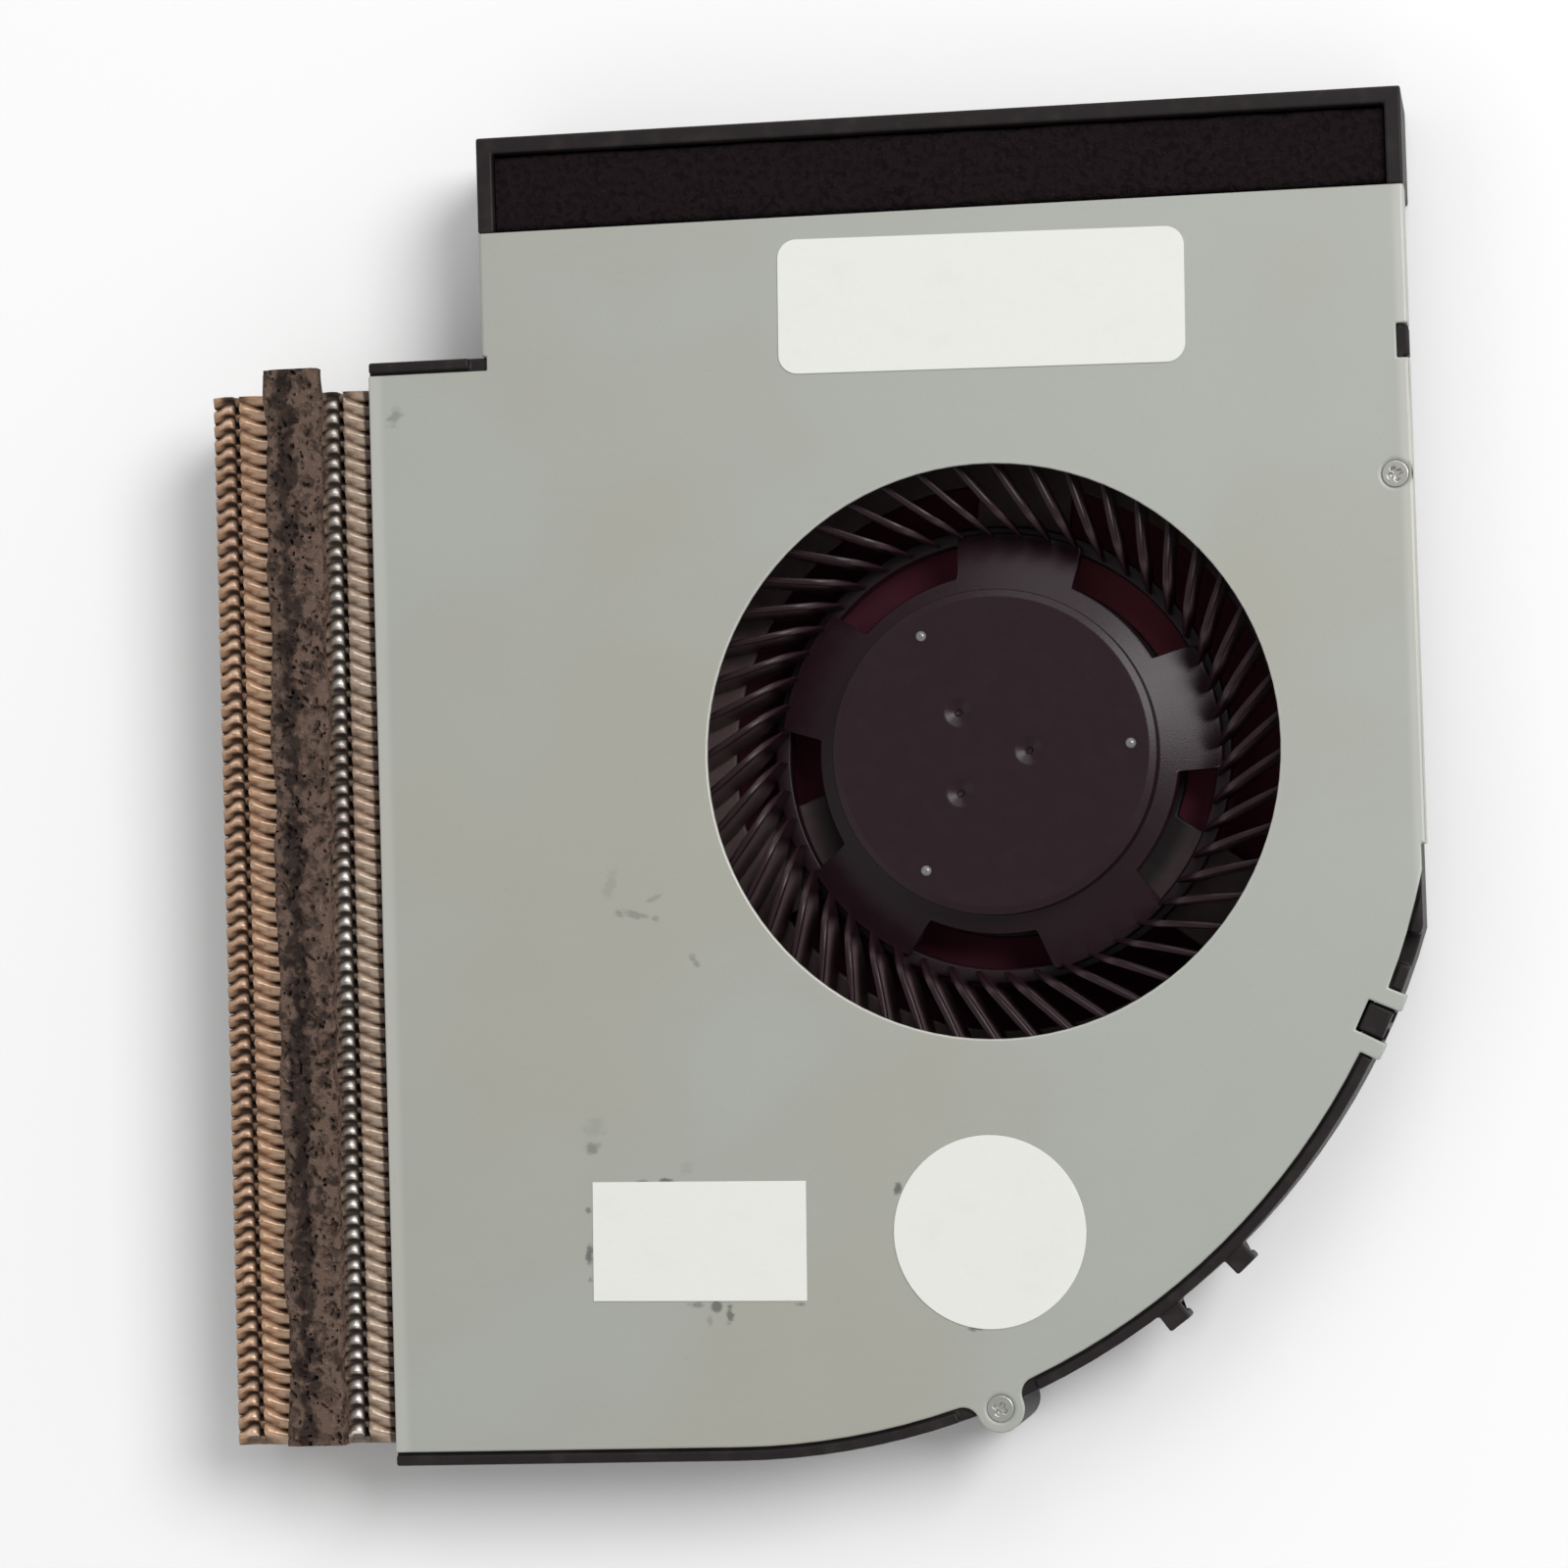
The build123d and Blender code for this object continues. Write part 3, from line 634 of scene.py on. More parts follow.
@dataclass(frozen=True)
class FinMetal(Finish):
    """Dulled copper sheet of the fins, tanned along the outer edge and greyer towards the cover."""

    tan: Colour = rgb(0.55, 0.355, 0.23)
    grey: Colour = rgb(0.50, 0.40, 0.315)
    patch: Colour = rgb(0.46, 0.3, 0.22)
    tarnish: Colour = rgb(0.13, 0.085, 0.06)
    # dark tone of the painted shade in the folds and of the painted shadow beside the cover
    painted_shade: Colour = rgb(0.05, 0.031, 0.022)
    tan_to_grey: Pair = (-57.6, -47.0)      # X from the outer edge to the last row
    patches: Pattern = Pattern(9.0, 3.0, limits=(0.40, 0.68), share=0.35)
    specks: Pattern = Pattern(0.5, 4.0, limits=(0.50, 0.72), share=0.35, rough=0.22)
    lines: Pattern = Pattern(0.07, 2.0, (20.0, 1.0, 20.0), rough=0.1)
    rows: tuple[RubbedRow, ...] = (
        RubbedRow(-56.45, rgb(0.78, 0.58, 0.45), 0.6, 0.14),
        RubbedRow(-48.50, rgb(0.97, 0.94, 0.89), 0.9, 0.26),
    )
    row_edge: Pair = (0.30, 0.55)           # distances from a row's middle between which it ends
    painted_shade_height: Pair = (10.12, 10.58)     # painted shade is full below the first and ends at the second
    painted_shade_share: float = 0.85
    cover_shadow: Pair = (0.65, 0.4)                 # painted shadow of the cover's edge on the fins: its start and full depth from there
    cover_shadow_share: float = 0.9
    relief: float = 0.005
    metallic: float = 0.8
    rough: float = 0.36

    def sockets(self, tree: Tree) -> dict:
        """Tone from outer to inner edge, patches of tarnish, painted shade low in the folds and a painted
        shadow beside the cover, fine lines along the sheet.

        Args:
            tree: the material's tree.

        Returns:
            Inputs of the shader.
        """
        specks = tree.pattern(self.specks)
        lines = tree.pattern(self.lines)
        colour = tree.mix(tree.axis(Axis.X).between(*self.tan_to_grey), self.tan, self.grey)
        level = tree.axis(Axis.Z)
        for row in self.rows:
            near = 1.0 - (tree.axis(Axis.X) - row.x * MM).length().between(*self.row_edge)
            colour = tree.mix(near * row.share, colour, row.tone)
            level = level - near * (row.painted_shade * MM)
        # painted shade: darker where the fins lie low, between the folds and in the holes of the zipper rows
        deep = 1.0 - level.between(*self.painted_shade_height)
        # painted shadow that the cover's edge casts on the fins
        cover_shadow = tree.axis(Axis.X).between(COVER_LEFT - self.cover_shadow[0], COVER_LEFT - self.cover_shadow[1])
        colour = tree.mix(tree.pattern(self.patches) * self.patches.share, colour, self.patch)
        colour = tree.mix(specks * self.specks.share, colour, self.tarnish)
        colour = tree.mix((deep * self.painted_shade_share).most(cover_shadow * self.cover_shadow_share), colour, self.painted_shade)
        rough = self.rough + specks * self.specks.rough + (lines - 0.5) * self.lines.rough
        relief = tree.bump(lines, self.relief)
        return {"Base Color": colour, "Metallic": self.metallic, "Roughness": rough, "Normal": relief}


@dataclass(frozen=True)
class PorousFoam(Finish):
    """Open foam: pale skeleton, and pores painted dark as the shade inside the open cells."""

    tone: Colour
    pale: Colour
    pore: Colour
    pores: Pattern
    flecks: Pattern
    clouds: Pattern
    relief: float
    worn_line: float | None = None          # X of a dark line of wear along the strip
    worn_edge: Pair = (0.2, 1.0)            # distances from the line between which the wear ends
    worn_share: float = 0.75
    stray: Pattern = Pattern(1.3, 4.0)
    stray_reach: float = 4.0                # width of the band in which the line wanders
    rough: float = 0.95
    gloss: float = 0.12

    @classmethod
    def of(cls, name: str, tones: tuple[Colour, Colour, Colour], size: float, **rest: float) -> "PorousFoam":
        """Foam whose patterns follow from the size of its cells.

        Args:
            name: name of the finish.
            tones: plain tone, pale skeleton and the dark tone of the painted shade in the pores.
            size: width of a cell in millimetres.
            rest: other fields of the finish.

        Returns:
            The finish.
        """
        pores = Pattern(size * 1.5, 4.0, limits=(0.36, 0.54), share=0.3)
        flecks = Pattern(size * 0.5, 4.0, limits=(0.50, 0.74), share=0.6, relief=0.5)
        clouds = Pattern(size * 7.0, 3.0, limits=(0.3, 0.7), share=0.45)
        return cls(name, *tones, pores, flecks, clouds, relief=size * 0.22, **rest)

    def sockets(self, tree: Tree) -> dict:
        """Ragged pores painted dark as shade where a coarse noise is low, pale flecks where a finer one is
        high, slow clouds.

        Args:
            tree: the material's tree.

        Returns:
            Inputs of the shader.
        """
        pores = 1.0 - tree.pattern(self.pores)
        flecks = tree.pattern(self.flecks)
        clouds = tree.pattern(self.clouds)
        colour = tree.mix(flecks * self.flecks.share, self.tone, self.pale)
        # painted shade in the pores, denser under the slow clouds
        colour = tree.mix(pores * (self.pores.share + clouds * self.clouds.share), colour, self.pore)
        if self.worn_line is not None:
            stray = (tree.pattern(self.stray) - 0.5) * (self.stray_reach * MM)
            away = (tree.axis(Axis.X) - self.worn_line * MM + stray).length()
            colour = tree.mix((1.0 - away.between(*self.worn_edge)) * self.worn_share, colour, self.pore)
        relief = tree.bump(flecks * self.flecks.relief - pores, self.relief)
        plain = {"Roughness": self.rough, "Specular IOR Level": self.gloss}
        return {"Base Color": colour, "Normal": relief, **plain}


@dataclass(frozen=True)
class LabelPaper(Finish):
    """White coated label paper, a little toned and dusty."""

    tone: Colour = rgb(0.80, 0.80, 0.755)
    worn: Colour = rgb(0.66, 0.665, 0.63)
    toned: float = 0.05                     # share of the worn tone all over
    fibres: Pattern = Pattern(0.12, 4.0, (3.0, 1.0, 1.0), share=0.3)
    patches: Pattern = Pattern(3.2, 4.0, limits=(0.50, 0.78), share=0.15, rough=0.15)
    cockle: Pattern = Pattern(4.5, 1.0)
    fibre_relief: float = 0.006
    cockle_relief: float = 0.03
    rough: float = 0.55

    def sockets(self, tree: Tree) -> dict:
        """Fine fibres, faint toning in soft patches and a slight cockle.

        Args:
            tree: the material's tree.

        Returns:
            Inputs of the shader.
        """
        fibres = tree.pattern(self.fibres)
        patches = tree.pattern(self.patches)
        worn = patches * self.patches.share + (fibres - 0.5) * self.fibres.share + self.toned
        colour = tree.mix(worn, self.tone, self.worn)
        relief = tree.bump(fibres, self.fibre_relief)
        relief = tree.bump(tree.pattern(self.cockle), self.cockle_relief, relief)
        rough = self.rough + patches * self.patches.rough
        return {"Base Color": colour, "Roughness": rough, "Normal": relief}


@dataclass(frozen=True)
class WorkedMetal(Finish):
    """Plain metal part with fine tool lines and light tarnish."""

    tone: Colour
    dull: Colour
    rough: float
    lines: Pattern = Pattern(0.06, rough=0.1)
    patches: Pattern = Pattern(1.1, 4.0, limits=(0.45, 0.75), share=0.6, rough=0.15)
    relief: float = 0.004
    metallic: float = 0.9

    def sockets(self, tree: Tree) -> dict:
        """Tool lines in relief and roughness, tarnish in small patches.

        Args:
            tree: the material's tree.

        Returns:
            Inputs of the shader.
        """
        lines = tree.pattern(self.lines)
        patches = tree.pattern(self.patches)
        colour = tree.mix(patches * self.patches.share, self.tone, self.dull)
        rough = self.rough + patches * self.patches.rough + (lines - 0.5) * self.lines.rough
        relief = tree.bump(lines, self.relief)
        return {"Base Color": colour, "Metallic": self.metallic, "Roughness": rough, "Normal": relief}


@dataclass(frozen=True)
class Banded(Finish):
    """Part that shows even bands one above the other, such as laminations or wound wire."""

    tone: Colour
    groove: Colour
    pitch: float
    metallic: float
    groove_edge: Pair = (0.1, 0.6)          # parts of a band's height between which the groove's tone ends
    stain: Pattern = Pattern(0.8, 3.0, share=0.3)
    relief: float = 0.03
    rough: float = 0.4

    def sockets(self, tree: Tree) -> dict:
        """A sine of the height in relief, darker in its grooves.

        Args:
            tree: the material's tree.

        Returns:
            Inputs of the shader.
        """
        turn = tree.axis(Axis.Z) * (2.0 * math.pi / (self.pitch * MM))
        bands = turn.sine() * 0.5 + 0.5
        stain = 1.0 - self.stain.share + tree.pattern(self.stain) * self.stain.share
        share = bands.step(*self.groove_edge) * stain
        colour = tree.mix(share, self.groove, self.tone)
        plain = {"Metallic": self.metallic, "Roughness": self.rough}
        return {"Base Color": colour, "Normal": tree.bump(bands, self.relief), **plain}


HOUSING_FINISH = MouldedPlastic(
    "black_moulding", rgb(0.012, 0.0085, 0.009), rgb(0.05, 0.042, 0.04), dusty=0.25, rough=0.5, gloss=0.22,
    # film: dust, and a paler tone on the shaded floor and spokes that is painted light
    film=DustAndPaintedLight(rgb(0.30, 0.21, 0.21), share=0.85, band=(17.5, 27.0), height=(9.0, 4.0), fade_in=3.8),
)
IMPELLER_FINISH = MouldedPlastic(
    "impeller_plastic_dark", rgb(0.0180, 0.0072, 0.0102), rgb(0.035, 0.028, 0.03),
    dusty=0.10, rough=0.31, gloss=0.23,
    # film: dust, and a paler tone on the shaded sides of the blades that is painted light
    film=DustAndPaintedLight(rgb(0.23, 0.155, 0.16), share=0.85, band=(18.0, 28.0), height=(9.3, 8.2)),
)
STUD_FINISH = MouldedPlastic(
    "stud_moulding", rgb(0.16, 0.15, 0.15), rgb(0.3, 0.29, 0.28), dusty=0.2, rough=0.16, gloss=0.9
)
FIN_FINISH = FinMetal("dulled_copper")
STRIP_FINISH = PorousFoam.of(
    "open_cell_foam", (rgb(0.13, 0.086, 0.066), rgb(0.25, 0.19, 0.16), rgb(0.008, 0.006, 0.007)),
    size=0.62, worn_line=-51.9,
)
SEAL_FINISH = PorousFoam.of(
    "soft_black_foam", (rgb(0.010, 0.0055, 0.0065), rgb(0.026, 0.018, 0.02), rgb(0.002, 0.0015, 0.002)),
    size=0.35,
)
PAPER_FINISH = LabelPaper("coated_paper")
SCREW_FINISH = WorkedMetal("plated_screw", rgb(0.55, 0.55, 0.51), rgb(0.28, 0.28, 0.25), rough=0.3)
COVER_FINISH = RolledSteel(
    "rolled_steel",
    smudges=(
        Smudge(-28.4, -8.8, 0.6, 1.6, -12.0, 0.16),
        Smudge(-26.7, -11.0, 1.6, 0.38, -18.0, 0.38),
        Smudge(-27.8, -10.9, 0.6, 0.45, 0.0, 0.42),
        Smudge(-25.1, -11.4, 0.42, 0.36, 0.0, 0.42),
        Smudge(-25.1, -9.9, 0.95, 0.26, 20.0, 0.28),
        Smudge(-22.3, -14.5, 0.75, 0.42, -45.0, 0.40),
        Smudge(-30.4, -28.0, 0.9, 0.6, 0.0, 0.50),
        Smudge(-30.0, -26.5, 1.4, 1.0, 30.0, 0.14),
        Smudge(-26.6, -30.6, 0.65, 0.26, 0.0, 0.60),
        Smudge(-24.9, -30.6, 0.7, 0.4, 0.0, 0.80),
        Smudge(-23.3, -29.7, 1.3, 0.5, 25.0, 0.14),
        Smudge(-30.7, -32.6, 0.28, 0.36, 0.0, 0.60),
        Smudge(-30.7, -35.9, 0.42, 1.0, 0.0, 0.80),
        Smudge(-30.7, -37.6, 0.26, 0.36, 0.0, 0.40),
        Smudge(-22.9, -39.6, 0.8, 0.3, 0.0, 0.50),
        Smudge(-21.4, -39.8, 0.55, 0.58, 0.0, 0.75),
        Smudge(-20.4, -40.4, 0.38, 1.05, 0.0, 0.75),
        Smudge(-21.9, -40.9, 0.42, 0.7, 0.0, 0.30),
        Smudge(-15.2, -39.7, 0.5, 0.26, 0.0, 0.50),
        Smudge(-7.8, -31.5, 0.42, 0.7, -12.0, 0.80),
        Smudge(-2.4, -41.7, 0.85, 0.36, 0.0, 0.70),
        Smudge(-43.6, 26.4, 1.1, 0.75, 35.0, 0.40),
    ),
)
CAD_FINISHES: dict[str, Finish] = {
    "rotor_yoke": WorkedMetal(
        "drawn_steel", rgb(0.5, 0.5, 0.49), rgb(0.3, 0.29, 0.27), rough=0.35,
        lines=Pattern(0.06, stretch=(1.0, 1.0, 12.0), rough=0.1),
    ),
    "magnet_ring": MouldedPlastic(
        "bonded_ferrite", rgb(0.024, 0.023, 0.025), rgb(0.06, 0.055, 0.05), dusty=0.3, rough=0.6, gloss=0.4
    ),
    "shaft": WorkedMetal(
        "ground_steel", rgb(0.62, 0.62, 0.62), rgb(0.4, 0.4, 0.4), rough=0.16,
        lines=Pattern(0.06, stretch=(12.0, 12.0, 1.0), rough=0.1),
    ),
    "bearing_sleeve": WorkedMetal("sintered_bronze", rgb(0.36, 0.2, 0.07), rgb(0.15, 0.08, 0.03), rough=0.45),
    "thrust_pad": MouldedPlastic(
        "pale_plastic", rgb(0.72, 0.69, 0.6), rgb(0.5, 0.47, 0.4), dusty=0.3, rough=0.35, gloss=0.5
    ),
    "stator_core": Banded(
        "laminations", rgb(0.13, 0.135, 0.15), rgb(0.03, 0.03, 0.03), pitch=0.35, metallic=0.6
    ),
    "stator_coils": Banded(
        "enamelled_wire", rgb(0.45, 0.16, 0.05), rgb(0.1, 0.03, 0.01), pitch=0.22, metallic=0.8
    ),
    "motor_board": MouldedPlastic(
        "green_laminate", rgb(0.02, 0.09, 0.035), rgb(0.05, 0.16, 0.07), dusty=0.6, rough=0.3, gloss=0.5,
        grain=Pattern(0.5, 3.0, share=0.2),
    ),
    "driver_chip": MouldedPlastic(
        "chip_moulding", rgb(0.012, 0.012, 0.014), rgb(0.05, 0.05, 0.05), dusty=0.3, rough=0.5, gloss=0.4
    ),
    "board_capacitors": MouldedPlastic(
        "tan_ceramic", rgb(0.45, 0.32, 0.17), rgb(0.3, 0.2, 0.1), dusty=0.5, rough=0.4, gloss=0.5
    ),
}


class FinShape(NamedTuple):
    """Measures of the folded section along each fin, as arrays (fins, stations)."""

    reach: np.ndarray           # of the top flange
    rise: np.ndarray            # of its crest
    dip: np.ndarray             # of its fold
    foot: np.ndarray            # reach of the bottom flange
    low: np.ndarray             # height of its underside


@dataclass
class FinStack:
    """Fins folded over at top and bottom that hook into each other in two zipper rows."""

    sheet: float = 0.2
    flange: float = 0.85
    pitch: float = 1.1
    fold: float = 0.42
    fall: float = 0.46                  # how far the edge of a plain flange curves down
    fall_rise: float = 0.5              # how much further it curves down for each millimetre of rise
    crest: float = 0.4                  # part of the way from fold to edge where the fall begins
    dip_way: Pair = (0.0, 0.5)          # parts of that way over which the dip ends
    rise_way: Pair = (0.05, 0.6)        # parts of that way over which the crest rises
    close: float = 0.10                 # how much further the flanges reach than the solids do
    rows: Pair = (1.15, 9.1)            # zipper rows, from the outer edge of the fins
    holes: Pair = (0.45, 0.85)          # depth of the holes in each row
    step_gap: float = 0.15              # distance from the cover where a fin steps up to the case's floor
    step: float = 0.01                  # length of that step
    floor: float = 1.2
    vary: float = 0.12                  # chance share of a fin's reach and rise
    stray: float = 0.025                # chance shift of a fin
    seed: int = 11
    ridge: tuple[float, ...] = (1.0, 0.92, 0.80, 0.66, 0.52, 0.38, 0.24, 0.10, 0.0)     # from edge to fold
    # place from a row, reach past the flange, rise of the crest (-1 in a hole) and dip of the fold
    zipper: tuple[tuple[float, float, float, float], ...] = (
        (-1.60, 0.00, 0.00, 0.00),
        (-1.05, 0.10, 0.04, 0.10),
        (-0.75, 0.26, 0.10, 0.20),
        (-0.45, 0.46, 0.24, 0.32),
        (-0.22, 0.58, 0.37, 0.42),
        (0.02, 0.62, 0.42, 0.46),
        (0.20, 0.60, 0.39, 0.46),
        (0.34, 0.54, 0.26, 0.42),
        (0.42, 0.42, 0.06, 0.34),
        (0.45, 0.12, -1.00, 0.28),
        (0.80, 0.12, -1.00, 0.28),
        (0.83, 0.86, 0.14, 0.34),
        (0.98, 0.82, 0.27, 0.32),
        (1.25, 0.70, 0.27, 0.28),
        (1.65, 0.48, 0.21, 0.16),
        (2.10, 0.24, 0.12, 0.09),
        (2.60, 0.08, 0.04, 0.03),
        (3.10, 0.00, 0.00, 0.00),
    )

    def stations(self, left: float, right: float) -> np.ndarray:
        """Places along a fin: those of the zipper table at each row, and the ends of its plain stretches.

        Args:
            left: X of the fins' outer edge.
            right: X of their inner edge.

        Returns:
            Rising values of X.
        """
        rows = left + np.array(self.rows)
        step = COVER_LEFT - self.step_gap
        zips = (rows[:, None] + np.array(self.zipper)[:, 0]).ravel()
        places = np.concatenate([zips, [left, step, step + self.step, right]])
        return np.unique(np.round(np.clip(places, left, right), 3))

    def shape(self, x: np.ndarray, left: float, bottom: float, vary: np.ndarray) -> FinShape:
        """Measures along the fins: the zipper table read off at each row, plain between the rows.

        Args:
            x: stations along a fin.
            left: X of the fins' outer edge.
            bottom: height of their underside outside the case.
            vary: factors round 1 for reach and rise, of shape (2, fins, 1).

        Returns:
            The measures.
        """
        place, reach, rise, dip = np.array(self.zipper).T
        rows = left + np.array(self.rows)
        lifts = [np.where(rise < 0.0, rise * depth, rise) for depth in self.holes]
        reach, dip = (sum(np.interp(x - row, place, values) for row in rows) for values in (reach, dip))
        rise = sum(np.interp(x - row, place, lift) for row, lift in zip(rows, lifts))
        inside = x > COVER_LEFT - self.step_gap
        even = np.ones_like(vary[0])
        return FinShape(
            reach=self.flange + self.close + reach * np.where(reach > 0.0, vary[0], 1.0),
            rise=rise * vary[1],
            dip=dip * even,
            foot=np.where(inside, self.fold + 0.01, self.flange + 2.0 * self.close) * even,
            low=np.where(inside, self.floor, bottom) * even,
        )

    def section(self, inset: float, top: float, shape: FinShape) -> np.ndarray:
        """Fold of a fin, from the edge of its top flange round the sheet to its bottom flange.

        The top flange is a rounded ridge: smooth steps lift it out of the dip at its fold and up to its rise,
        and its edge curves down as the square of the way past the crest, further where the crest is higher.
        Both folds are quarter circles.

        Args:
            inset: distance inside the outer face of the sheet.
            top: height of the plain top flange.
            shape: measures along the fins.

        Returns:
            Array (fins, stations, points, 2) of y and z.
        """
        reach, rise, dip, foot, low = (values[..., None] for values in shape)
        bend = self.fold - inset
        way = np.array(self.ridge)
        upper = np.radians([30.0, 60.0, 90.0])
        lower = np.radians([90.0, 45.0, 0.0])
        past = np.clip((way - self.crest) / (1.0 - self.crest), 0.0, 1.0)
        fall = (self.fall + self.fall_rise * np.maximum(rise, 0.0)) * past ** 2
        lift = rise * smooth(way, *self.rise_way) - dip * (1.0 - smooth(way, *self.dip_way))
        y = [
            self.fold + (reach - self.fold) * way,
            self.fold - bend * np.sin(upper),
            self.fold - bend * np.sin(lower),
            foot,
        ]
        z = [
            top - inset + lift - fall,
            top - dip - self.fold + bend * np.cos(upper),
            low + self.fold - bend * np.cos(lower),
            low + inset,
        ]
        lead = reach.shape[:-1]
        lines = ([np.broadcast_to(part, lead + part.shape[-1:]) for part in line] for line in (y, z))
        return stack(*(np.concatenate(line, axis=-1) for line in lines))

    def build(self) -> bpy.types.Object:
        """All fins in one mesh: the folded section carried along each fin, a little different each time.

        Returns:
            The fins.
        """
        low, high = node_box("fin_stack")
        count = int(round((high[1] - low[1] - self.flange) / self.pitch)) + 1
        x = self.stations(low[0], high[0])
        chance = np.random.default_rng(self.seed)
        vary = 1.0 + self.vary * chance.standard_normal((2, count, 1))
        shape = self.shape(x, low[0], low[2], vary)
        outer = self.section(0.0, high[2], shape)
        inner = self.section(self.sheet, high[2], shape)
        start = low[1] + self.pitch * np.arange(count) + self.stray * chance.standard_normal(count)
        start = np.clip(start, low[1], None)[:, None, None]
        loop = np.concatenate([outer, inner[..., ::-1, :]], axis=-2)
        points = stack(x[:, None], loop[..., 0] + start, loop[..., 1])
        points[..., 1] = np.minimum(points[..., 1], high[1])
        shell = Shell().grid(points, wrap_columns=True)
        half = outer.shape[-2]
        for end in (0, -1):
            shell.grid(np.stack([points[:, end, :half], points[:, end, :half - 1:-1]], axis=1))
        return show(shell.mesh("zipper_fins", 50.0), Body.CASE, Slot.FIN, FIN_FINISH, "fin_stack")


@dataclass
class FoamBar:
    """Foam strip with a porous skin: a rounded section carried along Y or X, pitted by scattered pores."""

    name: str
    node: str
    slot: Slot
    finish: PorousFoam
    along: Axis                 # X or Y
    corner: float               # radius of the upper edges
    cell: float                 # spacing of the pores
    pore: float                 # depth of the deepest pores
    wander: float               # how far the sides stray inwards
    spacing: float              # distance between points of the grid
    seed: int
    period: int = 256           # cells after which the pores repeat
    foot: float = 0.35          # height below which the pores fade
    sag: float = 0.35           # how far the top sags, as a share of the wander

    def pores(self, u: np.ndarray, v: np.ndarray) -> np.ndarray:
        """Depth of pits at scattered points.

        Each cell of a grid has one point with a radius and a depth of its own, and a smooth step of the
        distance shapes its pit. Sines of each other bend the grid's two directions, so that the pits are not
        round.

        Args:
            u: place across the bar, in millimetres.
            v: place along the bar.

        Returns:
            Depth from 0 to 1, the deepest pit that reaches each place.
        """
        chance = np.random.default_rng(self.seed)
        size = self.period
        shift = chance.random((size, size, 2))
        radius = 0.12 + 0.6 * chance.random((size, size)) ** 2
        depth = chance.random((size, size)) ** 1.5
        bent_u = u + 0.2 * np.sin(2.9 * v + 1.7 * np.sin(2.1 * u))
        bent_v = v + 0.2 * np.sin(3.3 * u + 1.3 * np.sin(1.9 * v))
        cell_u = np.floor(bent_u / self.cell).astype(int)
        cell_v = np.floor(bent_v / self.cell).astype(int)
        deepest = np.zeros(np.broadcast_shapes(bent_u.shape, bent_v.shape))
        for du, dv in np.ndindex(3, 3):
            near_u = cell_u + du - 1
            near_v = cell_v + dv - 1
            key = (near_u % size, near_v % size)
            aside = bent_u / self.cell - near_u - shift[key][..., 0]
            ahead = bent_v / self.cell - near_v - shift[key][..., 1]
            way = np.hypot(aside, ahead) / radius[key]
            deepest = np.maximum(deepest, depth[key] * (1.0 - smooth(way, 0.45, 1.0)))
        return deepest

    def waves(self, v: np.ndarray, count: int, chance: np.random.Generator) -> np.ndarray:
        """Slow wander: a sum of sines with chance lengths of 2 to 14 mm and chance phases.

        Args:
            v: places along the bar.
            count: number of sines.
            chance: source of the chance values.

        Returns:
            Values from 0 to 1.
        """
        length = chance.uniform(2.0, 14.0, (count, 1))
        phase = chance.uniform(0.0, 2.0 * np.pi, (count, 1))
        total = np.sin(2.0 * np.pi * v / length + phase).sum(0)
        return 0.5 + 0.5 * np.clip(total / math.sqrt(count), -1.0, 1.0)

    def section(self, width: float, height: float) -> tuple[np.ndarray, np.ndarray]:
        """Even points up one side, over the top with its two rounded edges, and down the other side.

        Args:
            width: width of the bar.
            height: height of the bar.

        Returns:
            Distances along the section, and its points.
        """
        r = self.corner
        left = arc((r, height - r), r, 180.0, 90.0, 9)
        right = arc((width - r, height - r), r, 90.0, 0.0, 9)
        outline = np.vstack([[[0.0, 0.0]], left, right, [[width, 0.0]]])
        run = np.concatenate([[0.0], np.hypot(*np.diff(outline, axis=0).T).cumsum()])
        at = np.linspace(0.0, run[-1], int(run[-1] / self.spacing))
        return at, stack(np.interp(at, run, outline[:, 0]), np.interp(at, run, outline[:, 1]))

    def build(self) -> bpy.types.Object:
        """Carries the section along the bar: points sink along their normals, and the sides wander inwards.

        Returns:
            The bar.
        """
        low, high = node_box(self.node)
        along = self.along.value
        across = 1 - along
        width = high[across] - low[across]
        height = high[2] - low[2]
        at, side = self.section(width, height)
        slope = np.gradient(side, axis=0)
        normal = stack(-slope[:, 1], slope[:, 0]) / np.hypot(slope[:, 0], slope[:, 1])[:, None]
        v = np.linspace(low[along], high[along], int((high[along] - low[along]) / self.spacing))
        chance = np.random.default_rng(self.seed + 1)
        sink = self.pore * self.pores(at[:, None], v[None, :]) * smooth(side[:, 1:], 0.0, self.foot)
        sag = self.sag * self.wander * self.waves(v, 7, chance)
        left = self.wander * self.waves(v, 9, chance)
        right = self.wander * self.waves(v, 9, chance)
        share = side[:, :1] / width
        w = low[across] + (side[:, :1] - normal[:, :1] * sink + left * (1 - share) - right * share)
        z = side[:, 1:] - normal[:, 1:] * sink - sag * smooth(side[:, 1:], height * 0.3, height)
        z = np.maximum(low[2] + z, low[2])
        points = stack(w, v, z) if self.along is Axis.Y else stack(v, w, z)
        shell = Shell().grid(points).grid(points[[0, -1]])
        half = (len(side) + 1) // 2
        for end in (0, -1):
            rim = points[:, end]
            shell.grid(np.stack([rim[:half], rim[::-1][:half]]))
        piece = show(shell.mesh(self.name, 60.0), Body.CASE, self.slot, self.finish, self.node)
        return piece


@dataclass(frozen=True)
class Slope:
    """Even fall outwards from a height at a radius."""

    radius: float
    height: float
    fall: float

    def at(self, radius: np.ndarray) -> np.ndarray:
        """Height at a radius."""
        return self.height - self.fall * (radius - self.radius)


